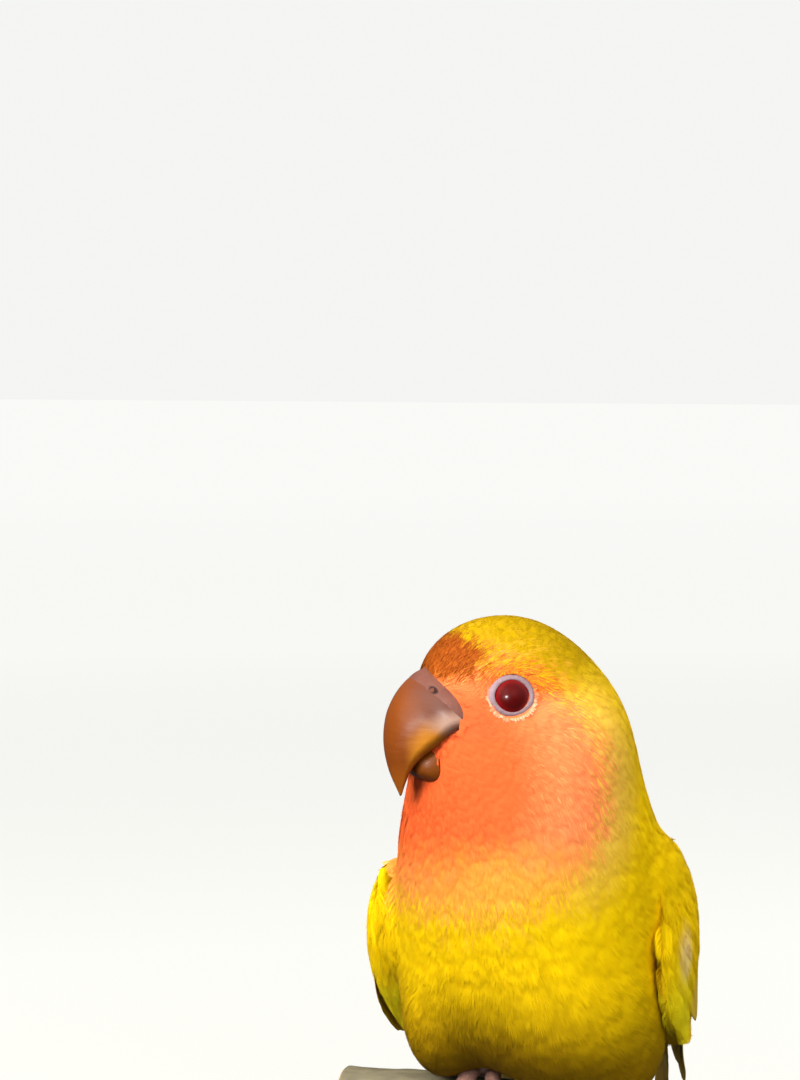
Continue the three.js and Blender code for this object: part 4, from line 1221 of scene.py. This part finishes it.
def armPoints(name):
    # each ring is an oval whose top is the wing's outer face; towards the leading edge it thins to a blade
    def shape(share, turn):
        middle, half = widthAt(arm["middle"], share), widthAt(arm["half"], share)
        bulge = np.sign(np.sin(turn)) * np.abs(np.sin(turn)) ** 0.7
        blade = arm["held"][name] * np.maximum(-np.cos(turn), 0) ** 2
        under = widthAt(arm["thickness"], share) / 2 * (1 - bulge) * (1 - arm["thin"] * blade)
        depth = widthAt(arm["top"], share) + under - widthAt(arm["lifted"], share) * blade
        across = middle + half * np.cos(turn) - widthAt(arm["drawn"], share) * blade
        return wingPoint(name, arm["reach"] * share, across, depth)

    return shape


def makeWing(name):
    grids, spots = tierVanes(name, wingTiers["primaries"])
    more, moreSpots = tierVanes(name, wingTiers["secondaries"])
    putParts(f"flight_feathers_{name}", grids + more, flightVanes, [f"wing_{name}"],
             extra=spots + moreSpots)
    grids, spots = tierVanes(name, wingTiers["greaterCoverts"])
    more, moreSpots = tierVanes(name, wingTiers["medianCoverts"])
    putParts(f"wing_coverts_{name}", grids + more, covertVanes, extra=spots + moreSpots)
    putSkin(f"wing_arm_{name}", ringLoft(armPoints(name), 60, 49), wingFeathers)
    makeFluff(f"lesser_coverts_{name}", armPoints(name), wingFluff)
    makeFluff(f"marginal_coverts_{name}", armPoints(name), edgeFluff)


# Soft feathers over the wing's arm, its leading edge and the tail's root; shares and turns say where, and
# tone how strongly the painted light of the leading edge shows on them
wingFluff = dict(shares=(0.012, 0.47), turns=(-0.9, 2.1), spacing=1.5, length=8, rise=(0.1, 0.7),
                 width=(1.9, 1.9), barbs=40, barbWidth=(0.17, 0.17), tone=0.0)
edgeFluff = dict(shares=(0.012, 0.86), turns=(1.8, 4.4), spacing=1.5, length=9, rise=(0.15, 0.8),
                 width=(1.8, 1.8), barbs=40, barbWidth=(0.17, 0.17), tone=0.9)


def makeFluff(name, shape, looks):
    share, turn = spreadOver(shape, looks["shares"], looks["turns"], looks["spacing"])
    order = np.argsort(share, kind="stable")
    share, turn = share[order], turn[order]
    length = looks["length"] * random.uniform(0.85, 1.15, len(share))
    shafts = surfaceShafts(shape, share, turn, length, looks["rise"])
    coords = np.stack([turn / (2 * np.pi) % 1, share], -1) * 0.99
    # painted light: a paler strip along part of the wing's leading edge, fading in and out along it
    edgeLight = smooth(turn, 2.1, 2.7) * smooth(share, 0.12, 0.25) * (1 - smooth(share, 0.42, 0.6))
    tones = looks["tone"] * edgeLight
    makeFeathers(name, shafts, coords, wingFeathers, looks, 1.0, tones)


for name in eyes:
    makeWing(name)
print("the wings are made")


# Tail: six pairs of feathers, the middle pair uppermost, under a fan of coverts
tail = dict(root=(0, 37, 0), pitch=46, reach=53, pairs=6, layer=0.9, camber=0.02, half=3.9, rows=30,
            stepped=1.7, fanRoot=(0.8, 0.45), fanTip=(1.5, 1.35), coverts=9, covertReach=26, covertHalf=2.6,
            stumpReach=(-2, 30), stumpHalf=(8.2, 2.6), stumpDepth=(5.5, 8.4, 8.6, 7.4, 5.8))
tailFluff = dict(shares=(0.012, 0.9), turns=(0.0, 6.28), spacing=1.7, length=8.5, rise=(0.15, 0.9),
                 width=(2.2, 2.2), barbs=40, barbWidth=(0.16, 0.16), tone=0.3)


def tailPoint(s, w, d):
    # s along the tail, w towards the bird's left, d below its upper face
    s, w, d = np.broadcast_arrays(s, w, d)
    turn = np.radians(tail["pitch"])
    along = np.array([0, np.cos(turn), -np.sin(turn)])
    down = np.array([0, -np.sin(turn), -np.cos(turn)])
    return tail["root"] + along * s[..., None] + down * d[..., None] + np.array([1.0, 0, 0]) * w[..., None]


def tailVanes():
    grids, spots = [], []
    for pair in range(tail["pairs"]):
        for side in eyes.values():
            layers = float(side < 0) if pair == 0 else pair + 1
            reach = tail["reach"] - tail["stepped"] * pair - 0.6 * (side < 0)
            near, far = (first + more * pair for first, more in (tail["fanRoot"], tail["fanTip"]))

            def place(u, across, depth):
                middle = side * mix(near, far, u)
                below = tail["layer"] * layers * mix(0.8, 1, u) + tail["camber"] * across**2
                return tailPoint(mix(2, reach, u), middle + across, below + depth)

            grid, spot = vaneGrid(place, tail["half"], tail["rows"])
            grids.append(grid)
            spots.append(spot * [1, reach])
    return grids, spots


def tailCoverts():
    grids, spots = [], []
    for i in range(tail["coverts"]):
        off = (i - (tail["coverts"] - 1) / 2) / 2
        reach = tail["covertReach"] - 1.6 * abs(off) - (i % 2)

        def place(u, across, depth):
            below = mix(2, -1.1, u**0.6) + 0.35 * abs(off) + 0.22 * across
            return tailPoint(reach * u, off * mix(1.6, 2.4, u) + across, below + depth)

        grid, spot = vaneGrid(place, tail["covertHalf"], 22)
        grids.append(grid)
        spots.append(spot * [1, reach])
    return grids, spots


def stumpPoints(share, turn):
    # the tail's root between its upper coverts and the soft feathers below
    half = mix(*tail["stumpHalf"], share**1.3)
    top, bottom = mix(-1.4, 1.2, share**1.5), widthAt(tail["stumpDepth"], share)
    depth = mix(top, bottom, (1 - np.sin(turn)) / 2)
    return tailPoint(mix(*tail["stumpReach"], share), half * np.cos(turn), depth)


def makeTail():
    grids, spots = tailVanes()
    putParts("tail_feathers", grids, flightVanes, ["tail"], extra=spots)
    grids, spots = tailCoverts()
    putParts("tail_coverts", grids, covertVanes, extra=spots)
    putSkin("tail_root", ringLoft(stumpPoints, 60, 49), wingFeathers)
    makeFluff("tail_root_feathers", stumpPoints, tailFluff)


makeTail()
print("the tail is made")


# Feet: two toes round the front of the branch and two round its back, scaly above and padded below
branch = dict(radius=6, length=64, gap=0.3)
foot = dict(x=6.5, clawLength=4.6, clawRadius=(0.85, 0.1), clawArch=0.9, scute=1.05, pad=0.09,
            padSize=(2.9, 2.8, 1.5), padHeight=1.6, shankRadius=(2.35, 2.0, 1.9))
toes = [dict(start=-1.2, spread=-2.2, forward=1, length=11.5, radius=1.35),
        dict(start=1.4, spread=3.4, forward=1, length=15.5, radius=1.5),
        dict(start=-1.4, spread=-3.2, forward=-1, length=8.5, radius=1.3),
        dict(start=1.3, spread=2.6, forward=-1, length=13.5, radius=1.45)]


def overBranch(side, toe, s, height):
    # the middle line of a toe and its claw, wrapped round the branch
    spread = toe["spread"] * np.minimum(s, toe["length"] + 2) / toe["length"]
    reach = branch["radius"] + height
    turn = toe["forward"] * s / reach
    return np.stack([side * (foot["x"] + toe["start"] + spread), -reach * np.sin(turn),
                     -branch["radius"] + reach * np.cos(turn)], -1)


def sweep(line, radius, columns=25, shape=None):
    # rings of a radius round a line; shape may change the radius by angle, with 0 outward from the branch
    along = unit(np.gradient(line, axis=0))
    side = unit(np.cross(along, [1.0, 0, 0]))
    other = np.cross(side, along)
    turn = np.linspace(0, 2 * np.pi, columns)
    size = radius[:, None] * (1 if shape is None else shape(turn))
    out, over = (size * np.cos(turn))[..., None], (size * np.sin(turn))[..., None]
    rings = line[:, None] + side[:, None] * out + other[:, None] * over
    return np.concatenate([line[:1, None] + 0 * rings[:1], rings, line[-1:, None] + 0 * rings[-1:]])


def toeGrid(side, toe):
    u = np.linspace(0, 1, 70)
    s = u * toe["length"]
    height = branch["gap"] - 0.15 + toe["radius"] * mix(1, 0.8, u)
    line = overBranch(side, toe, s, height)
    knuckles = 1 + foot["pad"] * np.cos(s / toe["length"] * 3 * 2 * np.pi)
    closing = np.sqrt(np.clip(1 - np.clip((u - 0.93) / 0.07, 0, 1) ** 2, 0.12, 1))
    radius = toe["radius"] * mix(1, 0.72, u) * knuckles * closing
    ridges = 1 + 0.05 * np.abs(np.sin(np.pi * s / foot["scute"])) ** 0.6

    def shape(turn):
        outer = smooth(toe["forward"] * -np.cos(turn), -0.1, 0.5)
        return mix(1, ridges[:, None], outer)

    return sweep(line, radius, 25, shape)


def shankGrid(side):
    x = side * foot["x"]
    stops = [(x, 0.6, 1.4), (x + side * 0.6, 1.4, 4), (x + side * 1.6, 3, 8.5)]
    line = curveAt(stops, np.linspace(0, 1, 40))[0]
    radius = widthAt(foot["shankRadius"], np.linspace(0, 1, 40))
    return sweep(line, radius)


def padGrid(side):
    def shape(share, turn):
        tilt = np.pi * share
        ball = [np.cos(turn) * np.sin(tilt), np.sin(turn) * np.sin(tilt), np.cos(tilt)]
        return np.stack(ball, -1) * foot["padSize"] + [side * foot["x"], 0, foot["padHeight"]]

    return ringLoft(shape, 24, 33)


def clawGrid(side, toe):
    u = np.linspace(0, 1, 30)
    s = toe["length"] - 1 + (foot["clawLength"] + 1) * u
    height = branch["gap"] + mix(toe["radius"], 0.45, u) + foot["clawArch"] * np.sin(u * np.pi)
    line = overBranch(side, toe, s, height)
    return sweep(line, mix(*foot["clawRadius"], u**1.2), 17)


footLooks = dict(skin="#a98276", shade="#7d5b50", claw="#b9a291", clawTip="#8d7566", scale=1500)


def makeFootSkin():
    # small plates of horn over pinkish skin
    material, tree, shader = newMaterial("scaly foot skin", Roughness=0.5, Specular_IOR_Level=0.4)
    coords = objectCoords(tree)
    plates = addNode(tree, "ShaderNodeTexVoronoi", {"Vector": coords, "Scale": footLooks["scale"]},
                     feature="DISTANCE_TO_EDGE").outputs["Distance"]
    groove = rampOf(tree, plates, 0.0, 0.12)
    clouds = noiseOf(tree, coords, 350)
    base = mixColour(tree, scaled(tree, clouds, 1.5, -0.35), footLooks["shade"], footLooks["skin"])
    dark = mixColour(tree, groove, footLooks["shade"], base)
    tree.links.new(dark, shader.inputs["Base Color"])
    bumpOf(tree, shader, groove, 0.06, 0.7)
    return material


def makeClawHorn():
    material, tree, shader = newMaterial("claw horn", Roughness=0.32, Specular_IOR_Level=0.5)
    streaks = noiseOf(tree, objectCoords(tree), 900, 3.0, (0.4, 1, 1))
    colour = mixColour(tree, streaks, footLooks["clawTip"], footLooks["claw"])
    tree.links.new(colour, shader.inputs["Base Color"])
    bumpOf(tree, shader, streaks, 0.03, 0.5)
    return material


footSkin, clawHorn = makeFootSkin(), makeClawHorn()


def makeFeet():
    for name, side in eyes.items():
        grids = [toeGrid(side, toe) for toe in toes] + [shankGrid(side), padGrid(side)]
        putParts(f"foot_skin_{name}", grids, footSkin, [f"foot_{name}"])
        for index, toe in enumerate(toes):
            putParts(f"claw_horn_{name}_{index + 1}", [clawGrid(side, toe)], clawHorn,
                     [f"claw_{name}_{index + 1}"])


makeFeet()
print("the feet grip the branch")


# Branch: a cut length of a thin limb, its bark ridged lengthwise, the cut ends showing pale wood
bark = dict(colour="#7a7360", dark="#4b463a", lichen="#8f8a70", wood="#c9a877", ring="#a98553", ridge=0.16,
            uneven=0.18, knot=0.3, ringSpacing=0.7, cutFrom=0.3, cutTo=0.1)


def branchPoints(share, turn):
    # rings along X: the branch's radius with sums of sines for its ridges, one knot and bevelled ends
    x = mix(-0.5, 0.5, share) * branch["length"]
    even = branch["radius"] + bark["uneven"] * (np.sin(x * 0.31 + 1) - 1)
    ridges = sum(np.sin(n * turn + 0.11 * n * x + n) / n**0.5 for n in (5, 9, 14, 23))
    knot = bark["knot"] * np.exp(-((x + 21) ** 2 + (12 * np.sin((turn - 2.2) / 2)) ** 2) / 9)
    bevel = 1 - 0.06 * np.clip((np.abs(share - 0.5) - 0.492) / 0.008, 0, 1) ** 2
    radius = (even - bark["ridge"] + bark["ridge"] * 0.4 * ridges + knot - 0.1) * bevel
    return np.stack([x, radius * np.cos(turn), -branch["radius"] + radius * np.sin(turn)], -1)


def makeBark():
    material, tree, shader = newMaterial("dry branch bark", Roughness=0.85, Specular_IOR_Level=0.2)
    coords = objectCoords(tree)
    strips = noiseOf(tree, coords, 700, 5.0, (0.18, 1, 1))
    flecks = noiseOf(tree, coords, 260, 4.0)
    cover = mixColour(tree, scaled(tree, strips, 2.2, -0.6), bark["dark"], bark["colour"])
    cover = mixColour(tree, scaled(tree, flecks, 0.6, -0.15), cover, bark["lichen"])
    axis = (np.array([0, 0, -branch["radius"]]) + placing["origin"]) * placing["metres"]
    mapped = addNode(tree, "ShaderNodeMapping", {"Vector": coords, "Location": tuple(-axis)}).outputs[0]
    parts = addNode(tree, "ShaderNodeSeparateXYZ", {0: mapped}).outputs
    flat = addNode(tree, "ShaderNodeCombineXYZ", {1: parts[1], 2: parts[2]}).outputs[0]
    reach = mathOf(tree, "ADD", lengthOf(tree, flat), scaled(tree, flecks, 0.6 * placing["metres"]))
    turns = scaled(tree, reach, 2 * np.pi / (bark["ringSpacing"] * placing["metres"]))
    rings = scaled(tree, mathOf(tree, "SINE", turns), 0.5, 0.5)
    wood = mixColour(tree, rings, bark["wood"], bark["ring"])
    end = mathOf(tree, "ABSOLUTE", parts[0])
    low, high = ((branch["length"] / 2 - bark[key]) * placing["metres"] for key in ("cutFrom", "cutTo"))
    cut = rampOf(tree, end, low, high)
    tree.links.new(mixColour(tree, cut, cover, wood), shader.inputs["Base Color"])
    bumpOf(tree, shader, strips, 0.25, 0.8)
    return material


putParts("branch", [ringLoft(branchPoints, 200, 121)], makeBark(), ["perch"])


# Stand: a lacquered wooden base with rounded edges and two brushed steel rods
stand = dict(width=74, depth=112, thickness=6, corner=30, edge=1.6, rodRadius=2, rodX=22, chamfer=0.3,
             rodSink=0.6, lacquer="#e6e3dc", shadow="#d6d2c9", steel="#b7babd")


def basePoints(share, turn):
    # a rounded rectangle whose rings go from the underside's middle over the rounded edge to the top's
    stops = np.array([0, 0.3, 0.36, 0.44, 0.56, 0.64, 0.7, 1])
    edge, half, top = stand["edge"], stand["width"] / 2, stand["thickness"]
    inset = np.interp(share, stops, [half, edge, edge * 0.3, 0, 0, edge * 0.3, edge, half])
    height = np.interp(share, stops, [0, 0, edge * 0.3, edge, top - edge, top - edge * 0.3, top, top])
    straight = np.array([stand["width"], stand["depth"]]) / 2 - stand["corner"]
    way = np.stack([np.cos(turn), np.sin(turn)], -1)
    corner = np.tanh(way * 40) * straight
    radius = np.maximum(stand["corner"] - inset, 0)
    shrink = np.clip((half - inset) / (half - stand["corner"]), 0, 1)
    flat = corner * np.where(inset > stand["corner"], shrink, 1)[..., None] + way * radius[..., None]
    return np.concatenate([flat, height[..., None]], -1) - placing["origin"]


def rodPoints(side):
    # a turned rod with a small chamfer at its foot; its top reaches into the branch's underside
    def shape(share, turn):
        bottom = stand["thickness"] + branch["gap"] - placing["origin"][2]
        top = -2 * branch["radius"] + stand["rodSink"]
        z = mix(bottom, top, share)
        radius = stand["rodRadius"] - np.clip(stand["chamfer"] - (z - bottom), 0, None)
        return np.stack([side * stand["rodX"] + radius * np.cos(turn), radius * np.sin(turn), z], -1)

    return shape


def makeLacquer():
    material, tree, shader = newMaterial("lacquered wood", Roughness=0.35, Coat_Weight=0.3,
                                         Coat_Roughness=0.1)
    grain = noiseOf(tree, objectCoords(tree), 60, 5.0, (6, 0.5, 1))
    tree.links.new(mixColour(tree, grain, stand["shadow"], stand["lacquer"]), shader.inputs["Base Color"])
    bumpOf(tree, shader, grain, 0.05, 0.4)
    return material


def makeSteel():
    material, tree, shader = newMaterial("brushed steel", Base_Color=stand["steel"], Metallic=1.0)
    lines = noiseOf(tree, objectCoords(tree), 900, 3.0, (1, 1, 0.03))
    tree.links.new(scaled(tree, lines, 0.2, 0.2), shader.inputs["Roughness"])
    bumpOf(tree, shader, lines, 0.01, 0.4)
    return material


board = putParts("base_board", [ringLoft(basePoints, 81, 193)], makeLacquer(), ["stand_base"])
board.visible_diffuse = False
brushedSteel = makeSteel()
for name, side in eyes.items():
    rod = ringLoft(rodPoints(side), 60, 49)
    putParts(f"rod_{name}", [rod], brushedSteel, [f"stand_rod_{name}"])
print("branch and stand are made")
